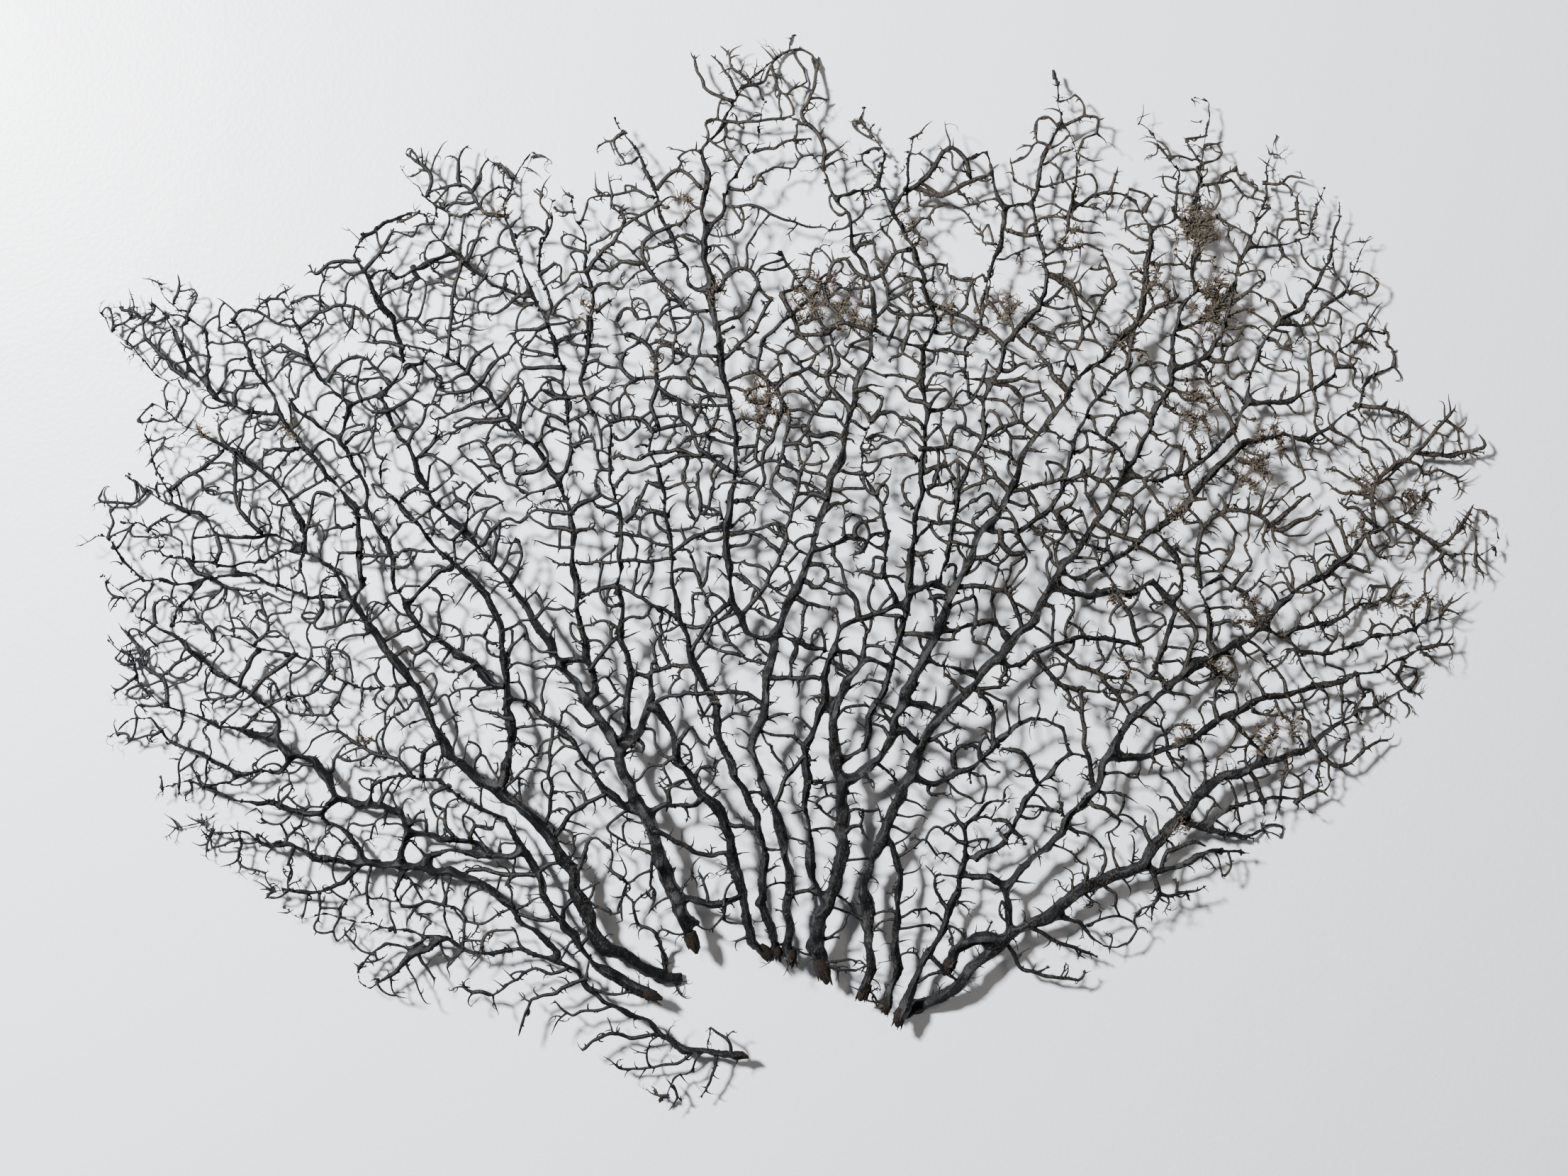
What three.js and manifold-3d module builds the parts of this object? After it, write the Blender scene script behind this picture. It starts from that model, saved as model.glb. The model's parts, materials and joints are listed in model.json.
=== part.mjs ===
// A dried sea fan: the black horny skeleton of a net-like soft coral, lying flat, without its foot.
// Units are millimetres, +Z is up, and the fan rests on z = 0. The broken stems point towards -Y.
// Each stem is a closed solid of its own, with the short branches that grow out of it. Stems stop just
// short of each other where the grown net joins them.

import * as THREE from "three";
import { mergeVertices } from "three/addons/utils/BufferGeometryUtils.js";
import Module from "manifold-3d";

const wasm = await Module();
wasm.setup();

// ---- driving dimensions -------------------------------------------------------------------------------
const GIRTH = 1.14;             // every listed radius is scaled by this
const GAP = 0.3;                // least clear space between two stems that cross
const END_GAP = 0.45;           // clear space between a stem's end and the stem it would join
const THICK = 2.3;              // a stem of this radius or more gets a rounder section
const SHORT = 3;                // no facet along a stem is shorter than this
const THICK_SIDES = 5;          // sides of a thick stem's section
const THIN_SIDES = 4;           // sides of any other section
const REACH = 7;                // a branch end grows onto a stem that passes within this distance
const FOOT_RUN = 34;            // length over which a tip bends down to the surface
const FOOT_SINK = 0.3;          // height of a resting tip's middle, as a share of its radius
const TWIG_ARCH = 1.1;          // rise or fall of a branch between its ends
const NEARBY = 1;               // rods whose boxes come this close are cut clear of each other
const SEARCH_STEP = 0.25;       // step of the search for the place where a rod comes clear of a stem
const WELD = 1e-4;              // corners closer than this are one corner
const ROOM = { width: 900, height: 200 };  // a block on the surface that holds the whole fan

// The fan is a shallow dome with slow ripples.
const EDGE_HEIGHT = 5.5;
const DOME = { height: 16, x: 10, y: -5, halfWidth: 210, halfDepth: 190 };
const RIPPLES = [
  { height: 1.6, alongX: 29, alongY: 37 },
  { height: 1.2, alongX: 63, alongY: -47 },
];

function relief(x, y) {
  const across = (x - DOME.x) / DOME.halfWidth;
  const along = (y - DOME.y) / DOME.halfDepth;
  const dome = DOME.height * Math.exp(-(across ** 2) - along ** 2);
  const ripple = RIPPLES.reduce(
    (sum, wave) => sum + wave.height * Math.sin(x / wave.alongX) * Math.cos(y / wave.alongY), 0);
  return EDGE_HEIGHT + dome + ripple;
}

// ---- the routes, seen from above ----------------------------------------------------------------------
// stem: a main stem. radii run evenly from its start to its end. from names the stem that it forks off,
// grows: "end" ends it on a neighbour, and foot names the end that rests on the surface.
// twig: a branch of that stem with a free tip. tie: a branch that ends on a neighbouring stem.
const thickness = (radii) => radii.map((radius) => radius * GIRTH);
const stem = (name, radii, options, route, ...sides) =>
  ({ name, radii: thickness(radii), ...options, route, sides });
const twig = (radii, ...route) => ({ radii: thickness(radii), route, tied: false });
const tie = (radii, ...route) => ({ radii: thickness(radii), route, tied: true });

const LOWER_LEFT = [
  stem("low_left_stem", [1.6, 1.2, 1.2, 0.9, 0.6], {}, [
    [-25, -208], [-38, -206], [-49, -205], [-59, -200], [-64, -193], [-73, -188], [-82, -185],
    [-91, -177], [-97, -171], [-107, -165], [-118, -162], [-131, -164], [-139, -164], [-149, -158],
    [-162, -156], [-175, -154], [-185, -151.5], [-198, -149], [-209, -150], [-219, -146]],
    twig([1.0, 0.7], [-41, -207], [-46, -215], [-54, -218], [-59, -227]),
    twig([1.3, 1.2, 0.9], [-157, -157], [-166, -163], [-175, -161], [-184, -167], [-188, -172]),
    twig([1.2, 1.2, 0.9], [-150, -158], [-157, -163], [-166, -166], [-171, -172], [-182, -179],
      [-187, -174])),
  stem("low_left_fork", [1.3, 1.3, 2.0, 1.7, 1.2, 0.8], { from: "low_left_stem", foot: "end" }, [
    [-89, -179], [-95, -171], [-107, -158], [-116, -151], [-123, -143], [-136, -135], [-147, -130],
    [-161, -128.5], [-177, -126.5], [-194, -125.5], [-206, -123], [-213, -118.5], [-227, -118],
    [-234, -113], [-247, -114], [-257, -110], [-266, -112]],
    twig([1.4, 1.3, 0.8], [-187, -126], [-194, -135], [-204, -139], [-214, -138.5], [-224, -140]),
    twig([1.3, 1.2, 1.0], [-166, -128.5], [-172, -138], [-168, -145], [-158, -143], [-146, -143])),
  stem("second_stem", [2.4, 2.6, 2.5, 2.3, 2.2, 2.0], { foot: "start" }, [
    [-50, -177], [-58, -177], [-72, -167], [-81, -161], [-89, -151], [-93, -139], [-95, -129],
    [-101, -121], [-111, -109.5], [-121, -99], [-132, -92], [-146, -82], [-152, -73], [-158, -59],
    [-167, -45], [-176, -34], [-184, -23], [-190, -14]]),
  stem("second_stem_riser", [1.9, 1.7, 1.6, 1.5, 1.3, 1.1], { from: "second_stem" }, [
    [-124, -95.5], [-124, -83], [-122, -69], [-124, -57], [-124, -42], [-126, -27], [-131, -13],
    [-141, -4], [-151, 5], [-160, 15], [-170, 27], [-177, 34], [-178, 42], [-174, 47]],
    tie([1.4, 1.2], [-124, -57], [-115, -57], [-109, -63], [-100, -69])),
  stem("second_stem_tip", [2.0, 1.7, 1.4, 1.3, 1.1, 0.8], { from: "second_stem" }, [
    [-190, -14], [-199, 0], [-209, 6], [-211, 18], [-217, 29], [-225, 38], [-236, 47], [-248, 53],
    [-258, 58], [-269, 64], [-277, 69.5]]),
  stem("third_stem", [1.9, 1.8, 1.4, 1.3, 1.2], { grows: "end" }, [
    [-62, -182], [-76, -175], [-87, -167], [-95, -157], [-104, -149], [-109, -137], [-115, -123],
    [-125, -108], [-138, -101], [-151, -92], [-163, -89], [-174, -90], [-182, -94], [-184, -101]]),
  stem("third_stem_fork", [1.4, 1.5, 1.8, 1.6, 1.9, 1.4, 1.3, 1.1, 0.8], { from: "third_stem" }, [
    [-115, -123], [-129, -122], [-142, -116], [-155, -114], [-164, -113], [-169, -104], [-183, -102],
    [-196, -98], [-199, -90], [-207, -83], [-214, -81], [-221, -86.5], [-236, -88], [-244, -85],
    [-257, -79], [-268, -73], [-276, -65], [-285, -64], [-295, -74]],
    tie([1.7, 1.7], [-166, -112], [-168.5, -119], [-168.5, -127]),
    tie([1.4, 1.3, 1.5], [-128, -122], [-137, -123], [-150, -121], [-160, -124], [-165, -128]),
    twig([1.5, 1.4, 1.2, 1.0], [-196, -98], [-202, -104.5], [-215, -104.5], [-226, -100], [-240, -99.5],
      [-252, -96], [-257, -93]),
    tie([1.3, 1.4], [-202, -105], [-200, -109], [-191, -115], [-186, -120], [-184, -126]),
    twig([1.3, 1.1, 0.8], [-238, -88], [-242, -91.5], [-251, -93], [-261, -92], [-270, -94])),
  stem("left_outer_stem", [1.9, 1.4, 1.2, 1.1, 0.8], { from: "third_stem_fork", foot: "end" }, [
    [-214, -81], [-221, -74], [-233, -71], [-247, -68], [-258, -64], [-270, -59.5], [-281, -51],
    [-285, -40], [-296, -31]]),
  stem("left_inner_stem", [1.5, 1.3, 1.4, 1.0, 0.7], { from: "left_outer_stem" }, [
    [-219, -74], [-222, -63], [-231, -56], [-242, -49], [-253, -40], [-262, -32], [-267, -28.5],
    [-280, -22.5], [-287, -11], [-296, -4.5]]),
];

const LEFT = [
  stem("left_cross_stem", [1.1, 1.1, 1.2, 1.1, 0.9], { from: "second_stem", grows: "end" }, [
    [-163, -51.5], [-179, -52.5], [-192, -50], [-204, -42], [-214, -37.5], [-230, -35.5],
    [-237, -31], [-245, -29], [-247, -36], [-254, -38]]),
  stem("left_middle_stem", [1.3, 1.2, 1.3, 1.1, 1.1], { from: "second_stem", grows: "end" }, [
    [-190, -13], [-203, -14], [-214, -11], [-225, -6.5], [-234, -4], [-252, -5], [-259, -12.5],
    [-265, -20], [-267, -28]],
    twig([1.1, 1.0, 0.9, 0.7], [-253, -5], [-264, -7.5], [-279, -7], [-287, 2], [-292, 11], [-299, 13])),
  stem("left_upper_cross", [1.3, 1.1, 1.2, 1.0, 0.7], { from: "second_stem_tip" }, [
    [-207, 5], [-218, 7], [-227, 1.5], [-241, 0.5], [-257, 2], [-270, 2.5], [-273, 12], [-281, 19],
    [-290, 18]]),
  stem("left_ridge_stem", [1.1, 1.1, 1.6, 1.2, 0.9], { from: "second_stem_tip", foot: "end" }, [
    [-210, 9.5], [-223, 13], [-241, 13], [-248, 13.5], [-255, 22], [-270, 26], [-281, 32], [-288, 39]],
    twig([1.3, 1.1, 0.9, 0.7], [-267, 25.5], [-269, 35], [-273, 45], [-278, 56], [-277, 65])),
  stem("left_rising_stem", [1.4, 1.6, 1.6, 1.5, 1.3, 1.2], { from: "second_stem", grows: "end" }, [
    [-189, -14], [-185, -8], [-186.5, 9], [-188, 24], [-196, 33], [-208, 47], [-217, 59], [-221, 68],
    [-230, 80], [-233.5, 91], [-240, 104], [-247, 101]]),
  stem("upper_left_spray", [1.2, 1.4, 1.5, 1.2, 0.8], { from: "left_rising_stem" }, [
    [-221, 65], [-235, 64], [-246, 70], [-251.5, 76], [-259, 85], [-264, 96], [-270, 106], [-275, 111]],
    twig([1.4, 1.2, 1.0, 0.7], [-251, 76], [-249.5, 88], [-251.5, 98], [-259, 107], [-267, 111],
      [-274, 121]),
    twig([1.1, 1.0, 0.8], [-257, 83], [-268, 79.5], [-278, 85], [-285, 95], [-293, 99], [-298, 108])),
  stem("left_twin_stem", [1.7, 1.7, 1.5, 1.4, 1.2], { from: "second_stem_riser" }, [
    [-124, -58], [-133, -46], [-146, -36], [-157, -30], [-167, -17.5], [-171, -6], [-172.5, 3],
    [-178, 16], [-183, 24], [-184, 33], [-189, 44], [-196, 53], [-204, 57.5], [-213, 66], [-216.5, 72]],
    tie([1.4, 1.3], [-167, -18], [-160, -11], [-152, -3], [-146, 0])),
];

const CENTRE_LEFT = [
  stem("great_stem", [2.6, 2.8, 2.7, 2.4, 2.2, 1.9], {}, [
    [-45, -159], [-49, -148], [-52, -139], [-59, -125], [-62, -112], [-67, -101], [-73, -89],
    [-76, -77], [-83, -65], [-93, -52], [-101, -41]],
    twig([1.5, 1.1], [-48, -150], [-44, -150], [-41, -152]),
    twig([2.1, 1.9, 1.5], [-75, -80], [-66, -68], [-63, -56], [-62, -43]),
    tie([1.7, 1.5, 1.3], [-65, -104], [-72, -103], [-82, -95], [-89, -83], [-98, -72], [-109, -62],
      [-113, -57]),
    tie([1.3, 1.2], [-64, -105], [-57, -102], [-48, -101], [-38, -99]),
    tie([1.5, 1.4], [-51, -140], [-42, -141], [-33, -141], [-24, -140.5]),
    twig([1.3, 1.1], [-65, -46], [-70, -44.5])),
  stem("great_stem_left", [2.0, 1.9, 1.7, 1.6, 1.4], { from: "great_stem" }, [
    [-101, -41], [-111, -24], [-119, -12], [-134, 6], [-143, 16], [-154, 26], [-160, 38], [-166, 50],
    [-172, 60], [-178, 72]],
    tie([1.2, 1.0], [-141, 15], [-139, 28], [-130, 38], [-117, 51]),
    tie([1.3, 1.1], [-102, -39], [-95, -40], [-90, -40])),
  stem("left_crown_stem", [1.4, 1.5, 1.4, 1.2, 0.9], { from: "great_stem_left" }, [
    [-178, 72], [-173, 78], [-169, 83], [-169, 92], [-173, 105], [-181, 118], [-189.5, 132],
    [-185, 138], [-176, 146], [-160, 149], [-156, 143]]),
  stem("left_crown_fork", [1.2, 1.3, 1.2, 0.9], { from: "great_stem_left" }, [
    [-178, 71], [-189, 69], [-202, 77], [-208, 87], [-213, 98], [-216, 110], [-219, 118]],
    tie([1.3, 1.2], [-189, 68], [-192, 61], [-195, 55])),
  stem("inner_left_stem", [1.6, 1.6, 1.4, 1.4, 1.3, 1.3], { from: "great_stem", grows: "end" }, [
    [-83, -65], [-85, -52], [-89, -40], [-93, -19], [-95, 0], [-96, 21], [-101, 36], [-110, 48],
    [-120, 57], [-131, 74], [-142, 83], [-156, 92], [-160, 84], [-168, 81]]),
  stem("centre_left_stem", [1.5, 1.4, 1.3, 1.2, 1.4, 1.2, 0.9], { from: "great_stem" }, [
    [-76, -77], [-72, -66], [-71.5, -46], [-75, -29], [-76, -8], [-75, 12], [-77, 31], [-81, 45],
    [-80, 61], [-89, 65], [-92, 77], [-88, 100], [-88, 117], [-91, 134], [-97, 158]]),
  stem("left_top_stem", [1.2, 1.2, 1.4, 1.3, 1.1, 0.8], { from: "inner_left_stem", foot: "end" }, [
    [-99, 32], [-97, 48], [-98, 68], [-101, 87], [-108, 105], [-115, 119], [-121, 135], [-126, 152],
    [-122, 166], [-115, 177]],
    twig([1.2, 1.1, 0.9], [-107, 103], [-105, 112], [-110, 123], [-107, 139], [-105, 154], [-113, 161])),
  stem("left_top_fork", [1.2, 1.3, 1.4, 1.0, 0.7], { from: "left_top_stem" }, [
    [-111, 112], [-124, 116], [-138, 125], [-149, 134], [-156, 144], [-154, 153], [-159, 157],
    [-167, 166], [-169, 171]],
    tie([1.4, 1.4, 1.2], [-150, 134], [-159, 127], [-171, 121], [-177, 126], [-183, 122])),
];

const CENTRE = [
  stem("thin_centre_stem", [2.0, 1.9, 1.8, 1.6], { grows: "end" }, [
    [-14, -164], [-20, -159], [-22, -146], [-27, -129], [-29, -115], [-36, -101], [-43, -94],
    [-50, -83], [-54, -69], [-62, -60]]),
  stem("slim_stem", [1.5, 1.5, 1.6, 1.4, 1.3], { grows: "end" }, [
    [-9, -164], [-12, -154], [-16, -143], [-15.5, -123], [-19, -105], [-28, -87], [-34, -72],
    [-36, -56], [-44, -41], [-51, -23], [-53, -5], [-54, 9], [-57, 31], [-63, 48], [-61, 56]]),
  stem("centre_stem", [2.0, 2.0, 1.9, 1.9, 2.1], {}, [
    [-3.5, -166], [-5, -151], [-5, -130], [-8, -109], [-15, -93], [-22, -78], [-17, -65],
    [-13.5, -49], [-12, -32], [-5, -15], [3, 0]],
    tie([1.3, 1.2], [-11, -29], [-4, -31], [5, -33], [13, -34])),
  stem("centre_stem_top", [2.1, 1.8, 1.5, 1.7, 1.3, 0.9], { from: "centre_stem" }, [
    [3, 0], [8, 15], [11, 29], [17, 45], [19, 58], [23, 74], [29, 88], [31, 102], [31, 118],
    [24, 132], [20, 148], [14, 157], [8, 168], [0, 181]],
    tie([1.6, 1.5, 1.6], [5, 6], [20, 12], [35, 7], [34, -2], [42, -14]),
    twig([1.4, 1.2, 1.0], [35, 7], [37, 15], [35, 25], [27, 39], [25, 49], [29, 62]),
    tie([1.3, 1.2], [16, 155], [24, 159], [34, 157])),
  stem("centre_stem_left", [1.6, 1.6, 1.5, 1.6], { from: "centre_stem" }, [
    [-12, -32], [-21, -28], [-28, -14], [-30.5, 4], [-29.5, 24], [-26.5, 46], [-28, 62], [-33, 80],
    [-35.5, 102]]),
  stem("top_crown_stem", [1.7, 1.7, 1.5, 1.3, 1.0, 0.8], { from: "centre_stem_left", foot: "end" }, [
    [-35.5, 102], [-38, 117], [-41, 136], [-40, 157], [-40, 176], [-30, 189], [-26, 201], [-15, 215],
    [-3, 221], [-2, 227.5]],
    twig([1.3, 1.2, 1.0, 0.8], [-40, 138], [-31, 150], [-30, 162], [-19, 178], [-14, 198])),
  stem("top_left_stem", [1.2, 1.3, 1.2, 0.8], { from: "top_crown_stem" }, [
    [-37.5, 111.5], [-46, 117], [-53, 135], [-60, 153], [-66, 171], [-78, 189]]),
];

const CENTRE_RIGHT = [
  stem("broad_stem", [2.9, 2.9, 2.4, 2.0, 1.8], {}, [
    [10, -172], [7, -162], [9, -147], [15, -137], [18.5, -117], [18, -92], [14, -75], [15, -60],
    [20, -47], [29, -38]],
    tie([1.4, 1.3], [28, -39], [33, -40], [38, -43]),
    tie([1.3, 1.2], [27, -39], [22, -35], [14, -34])),
  stem("broad_stem_left", [1.6, 1.4, 1.8, 1.5, 1.5], { from: "broad_stem" }, [
    [9, -146], [5, -131], [5, -113], [2, -91], [3, -75], [10, -58], [12, -42], [16, -27], [27, -22],
    [40, -15.5]],
    tie([1.3, 1.2], [16, -28], [14, -33], [11, -40])),
  stem("bright_stem", [1.3, 1.3, 1.5, 1.5, 1.4], { from: "broad_stem" }, [
    [17, -84], [26, -77], [29, -65], [35, -53], [39, -39], [44, -21], [46, -6], [47, 12], [51, 31],
    [52, 50], [52, 75]],
    tie([1.5, 1.3], [46, -12], [54, -8], [63, -10]),
    tie([1.3, 1.2], [52, 64], [60, 66], [69, 74], [77, 70])),
  stem("bright_stem_top", [1.4, 1.6, 1.5, 1.3, 0.8], { from: "bright_stem", foot: "end" }, [
    [52, 75], [52, 90], [59, 104], [53, 116], [49, 132], [41, 149], [33, 160], [36, 178], [26, 189],
    [28, 197]],
    twig([1.3, 1.2, 0.8], [40, 149], [45, 158], [46, 171], [50, 183]),
    tie([1.3, 1.2], [52, 92], [40, 97], [31, 99])),
  stem("diagonal_stem", [2.1, 2.2, 2.3, 2.1, 1.8, 1.6], { from: "broad_stem" }, [
    [18, -92], [30, -85], [38, -72], [48, -48], [57, -27], [67, -5], [76, 12], [89, 31], [95, 48],
    [102, 58], [113, 71]],
    tie([1.6, 1.5], [39, -71], [45, -70], [51, -75]),
    tie([1.6, 1.5], [45, -57], [52, -58], [58, -61]),
    tie([1.3, 1.2], [53, -39], [65, -42], [74, -45]),
    tie([1.5, 1.4], [57, -28], [75, -26], [82, -24], [87, -32]),
    tie([1.3, 1.2], [101, 57], [108, 57], [117, 51])),
  stem("diagonal_stem_top", [1.6, 1.6, 1.5, 1.3, 1.0], { from: "diagonal_stem" }, [
    [113, 71], [119, 81], [131, 90], [143, 102], [145, 113], [147.5, 131], [149, 146], [144, 155],
    [134, 158], [127, 158]],
    tie([1.3, 1.2], [149, 141], [153, 145], [158, 146])),
  stem("upright_stem", [1.1, 1.3, 1.5, 1.4, 1.3], { from: "bright_stem" }, [
    [48, -10], [57, -7], [63, 10], [67, 31], [71, 43], [76, 55], [78, 70], [85, 84], [88, 96]]),
  stem("tall_top_stem", [1.4, 1.5, 1.4, 1.2, 0.7], { from: "upright_stem" }, [
    [88, 96], [101, 107], [105, 122], [101, 138], [98, 153], [103, 170], [111, 188], [110, 200],
    [109, 211]],
    twig([1.3, 1.2, 0.9], [104, 130], [113, 136], [115, 155], [118, 175], [112, 187]),
    twig([1.3, 1.3, 1.0], [114, 149], [125, 157], [131, 161])),
  stem("high_arch_stem", [1.2, 1.1, 1.4, 1.3, 0.9], { from: "upright_stem" }, [
    [80, 78], [70, 80], [70, 92], [76, 103], [79, 115], [80, 125], [86, 141], [88, 150], [82, 163],
    [79, 175], [70, 173], [71, 164]],
    tie([1.3, 1.2], [88, 151], [93, 151], [98, 152])),
  stem("long_diagonal_stem", [2.1, 2.1, 2.2, 2.1, 2.0, 1.8], {}, [
    [27, -181], [31, -171], [29, -153], [27, -134], [33, -116], [41, -100], [50, -80], [61, -61],
    [77, -44], [95, -27], [107, -8], [119, 10], [131, 27], [138, 38]],
    twig([1.5, 1.6, 1.6], [35, -113], [42, -122], [43, -135], [41, -149], [41, -171], [37, -187]),
    tie([1.6, 1.5, 1.6], [44, -91], [58, -91], [74, -84], [82, -77]),
    tie([1.3, 1.2], [118, 8], [112, 16], [109, 24])),
  stem("long_diagonal_top", [1.8, 1.7, 1.6, 1.4, 1.2], { from: "long_diagonal_stem" }, [
    [138, 38], [144, 51], [151, 67], [157, 77], [158, 95], [162, 109], [168, 116]],
    tie([1.3, 1.2], [139, 40], [132, 51], [124, 56], [118, 56]),
    twig([1.3, 1.2, 1.0], [158, 98], [170, 104], [178, 111], [186, 124])),
  stem("lattice_stem", [1.3, 1.5, 1.5, 1.3, 1.2], { from: "diagonal_stem" }, [
    [78, 14], [90, 13], [104, 22], [111, 32], [115, 46], [118, 58], [125, 69], [131, 78], [138, 84],
    [142, 98]]),
];

const RIGHT = [
  stem("right_big_arm", [2.5, 2.5, 2.4, 2.5, 2.2, 1.9, 1.5, 1.0], { foot: "both" }, [
    [44.5, -191.5], [61, -183], [74, -170], [88, -156], [107, -147], [122, -135], [145, -127],
    [150, -118], [160, -109], [168, -98], [179, -90], [197, -84], [214, -78], [226, -69], [239, -61],
    [251, -58], [261, -52]],
    twig([2.0, 2.3], [86, -157], [74, -158], [67, -163], [63, -170]),
    twig([1.3, 1.1, 0.8], [107, -147], [118, -151], [129, -162], [138, -160])),
  stem("low_right_spray", [1.7, 1.6, 1.4, 1.2, 0.9], { from: "right_big_arm", foot: "end" }, [
    [161, -107], [166, -111], [178, -113], [190, -115.5], [199, -113], [206, -116]],
    twig([1.2, 1.3, 1.2, 0.9], [171, -111.5], [181, -103], [199, -99], [211, -99], [217, -104])),
  stem("low_right_stem", [1.5, 1.4, 1.3, 1.1], { from: "right_big_arm" }, [
    [144, -128], [149, -131], [160, -127.5], [173, -121], [189, -121]]),
  stem("v_stem", [2.0, 1.7, 1.5, 1.2, 1.0], {}, [
    [42, -192], [50, -172], [61, -154], [66, -137], [70, -121], [71, -109], [79, -101], [88, -98]]),
  stem("right_middle_stem", [1.7, 1.8, 1.8, 1.9, 2.0, 1.8], { from: "right_big_arm" }, [
    [87.5, -156], [88, -136], [97, -124], [112, -113], [120, -99], [131, -79.5], [139, -65],
    [153, -53], [167, -42], [185, -32], [196, -25]],
    tie([1.4, 1.3], [89, -136], [82, -132], [69, -130])),
  stem("right_upper_tip", [1.9, 1.7, 1.6, 1.4, 1.0], { from: "right_middle_stem", foot: "end" }, [
    [196, -25], [210, -11], [227, 0], [240, 13], [251, 19.5], [264, 27], [274.5, 33.5]],
    twig([1.1, 1.0, 0.8], [251, 19], [263, 14], [271, 9], [278, 3], [289, 4], [297, 11]),
    twig([1.1, 1.1, 0.9, 0.7], [243, 15], [243, 33], [252, 42], [262, 48], [275, 47], [291, 50])),
  stem("right_long_stem", [1.7, 1.6, 1.8, 1.5, 1.2, 1.1], { from: "right_middle_stem" }, [
    [129, -83], [145, -80], [159, -76], [175, -66], [190, -59], [206, -54], [230, -49], [242, -44],
    [256, -40], [264, -33], [261, -27]],
    tie([1.5, 1.3, 1.4], [180, -63], [188, -71], [194, -77], [197, -84])),
  stem("right_fan_stem", [1.3, 1.4, 1.4, 1.2, 1.0], { from: "right_middle_stem", foot: "end" }, [
    [195, -27], [204, -31], [211, -27], [223, -24.5], [240, -17], [253, -13]],
    twig([1.3, 1.3, 1.2, 1.0], [206, -31], [212, -37], [226, -38], [240, -30], [256, -28], [274, -21])),
  stem("right_root_stem", [1.4, 1.6, 1.8, 1.8, 1.6, 1.3, 0.9], { from: "long_diagonal_stem", foot: "end" }, [
    [108, -7], [120, -5], [135, 4.5], [148, 14], [163, 26], [178, 43], [187, 51.5], [201, 55],
    [214, 54], [229, 62], [237, 70], [245, 80], [254.5, 87]],
    tie([1.3, 1.2], [150, 15], [158, 4], [161, -6], [159, -17])),
  stem("right_lattice_stem", [1.6, 1.6, 1.7, 1.6], { from: "long_diagonal_stem" }, [
    [106.5, -10], [114, -13], [128, -12], [142, -10.5], [150, -7], [159, -19], [155, -30], [149, -41]]),
  stem("low_lattice_stem", [1.3, 1.3, 1.5, 1.3], { from: "long_diagonal_stem" }, [
    [77, -44], [93, -41], [108, -33], [128, -30.5], [144, -34]]),
  stem("right_arch_stem", [1.6, 1.7, 1.7, 1.4], { from: "right_middle_stem" }, [
    [174, -38], [173, -23], [169, -10], [179, -5], [188, -12], [191, -19], [195, -24]]),
  stem("hoop_stem", [1.5, 1.4, 1.5], { from: "v_stem" }, [
    [79, -129], [86, -117], [94, -102], [105, -88], [115, -79], [111, -68], [98, -64], [83, -75]]),
];

const UPPER_RIGHT = [
  stem("upper_right_stem", [1.5, 1.5, 1.4, 1.5, 1.3, 1.3, 1.0], {
    from: "long_diagonal_stem", foot: "end" }, [
    [138, 38], [150, 36], [163, 38], [176, 49.5], [185, 61], [191, 68], [205, 69], [219, 75], [226, 81],
    [227, 90], [236, 97], [243, 100.5], [252, 100.5]]),
  stem("upper_right_riser", [1.3, 1.2, 1.4, 1.3, 0.8], { from: "upper_right_stem" }, [
    [191, 68], [190, 80], [197, 93], [202, 105], [214, 110], [220, 121], [226, 133], [228, 147],
    [230, 155]],
    twig([1.3, 1.3, 1.1, 0.8], [201, 101.5], [215, 103], [230, 114], [236, 128], [242.5, 140])),
  stem("far_top_stem", [1.4, 1.4, 1.2, 1.0, 0.7], { from: "long_diagonal_top", foot: "end" }, [
    [157, 82], [172, 87], [180, 98], [182, 112], [187, 128], [194, 141], [197, 155], [200, 170],
    [203.5, 184.5]],
    twig([1.2, 1.1, 0.7], [191, 134], [205, 135], [217, 141], [219, 152], [223, 161])),
  stem("top_right_tuft", [1.4, 1.3, 1.1, 0.7], { from: "long_diagonal_top" }, [
    [166, 114], [168, 130], [169, 150], [170.5, 168], [172, 188], [173, 196], [167, 199]],
    twig([1.2, 1.1, 0.8], [169, 140], [159, 148], [160, 168], [150, 180], [144, 187])),
];

// ---- the solids ----------------------------------------------------------------------------------------
function toSolid(geometry) {
  const bare = geometry.clone();
  bare.deleteAttribute("normal");
  bare.deleteAttribute("uv");
  const merged = mergeVertices(bare, WELD);
  const vertProperties = new Float32Array(merged.attributes.position.array);
  const triVerts = new Uint32Array(merged.index.array);
  return new wasm.Manifold(new wasm.Mesh({ numProp: 3, vertProperties, triVerts }));
}

function toGeometry(solid) {
  const mesh = solid.getMesh();
  const geometry = new THREE.BufferGeometry();
  geometry.setAttribute("position", new THREE.BufferAttribute(new Float32Array(mesh.vertProperties), 3));
  geometry.setIndex(new THREE.BufferAttribute(new Uint32Array(mesh.triVerts), 1));
  geometry.computeVertexNormals();
  return geometry;
}

function radiusAt(radii, share) {
  const place = THREE.MathUtils.clamp(share, 0, 1) * (radii.length - 1);
  const low = Math.min(Math.floor(place), radii.length - 2);
  return THREE.MathUtils.lerp(radii[low], radii[low + 1], place - low);
}

// A section with this many sides has the area of a circle of radius 1 when its corners stand out this far.
const cornerReach = (sides) => Math.sqrt((2 * Math.PI) / (sides * Math.sin((2 * Math.PI) / sides)));

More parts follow.
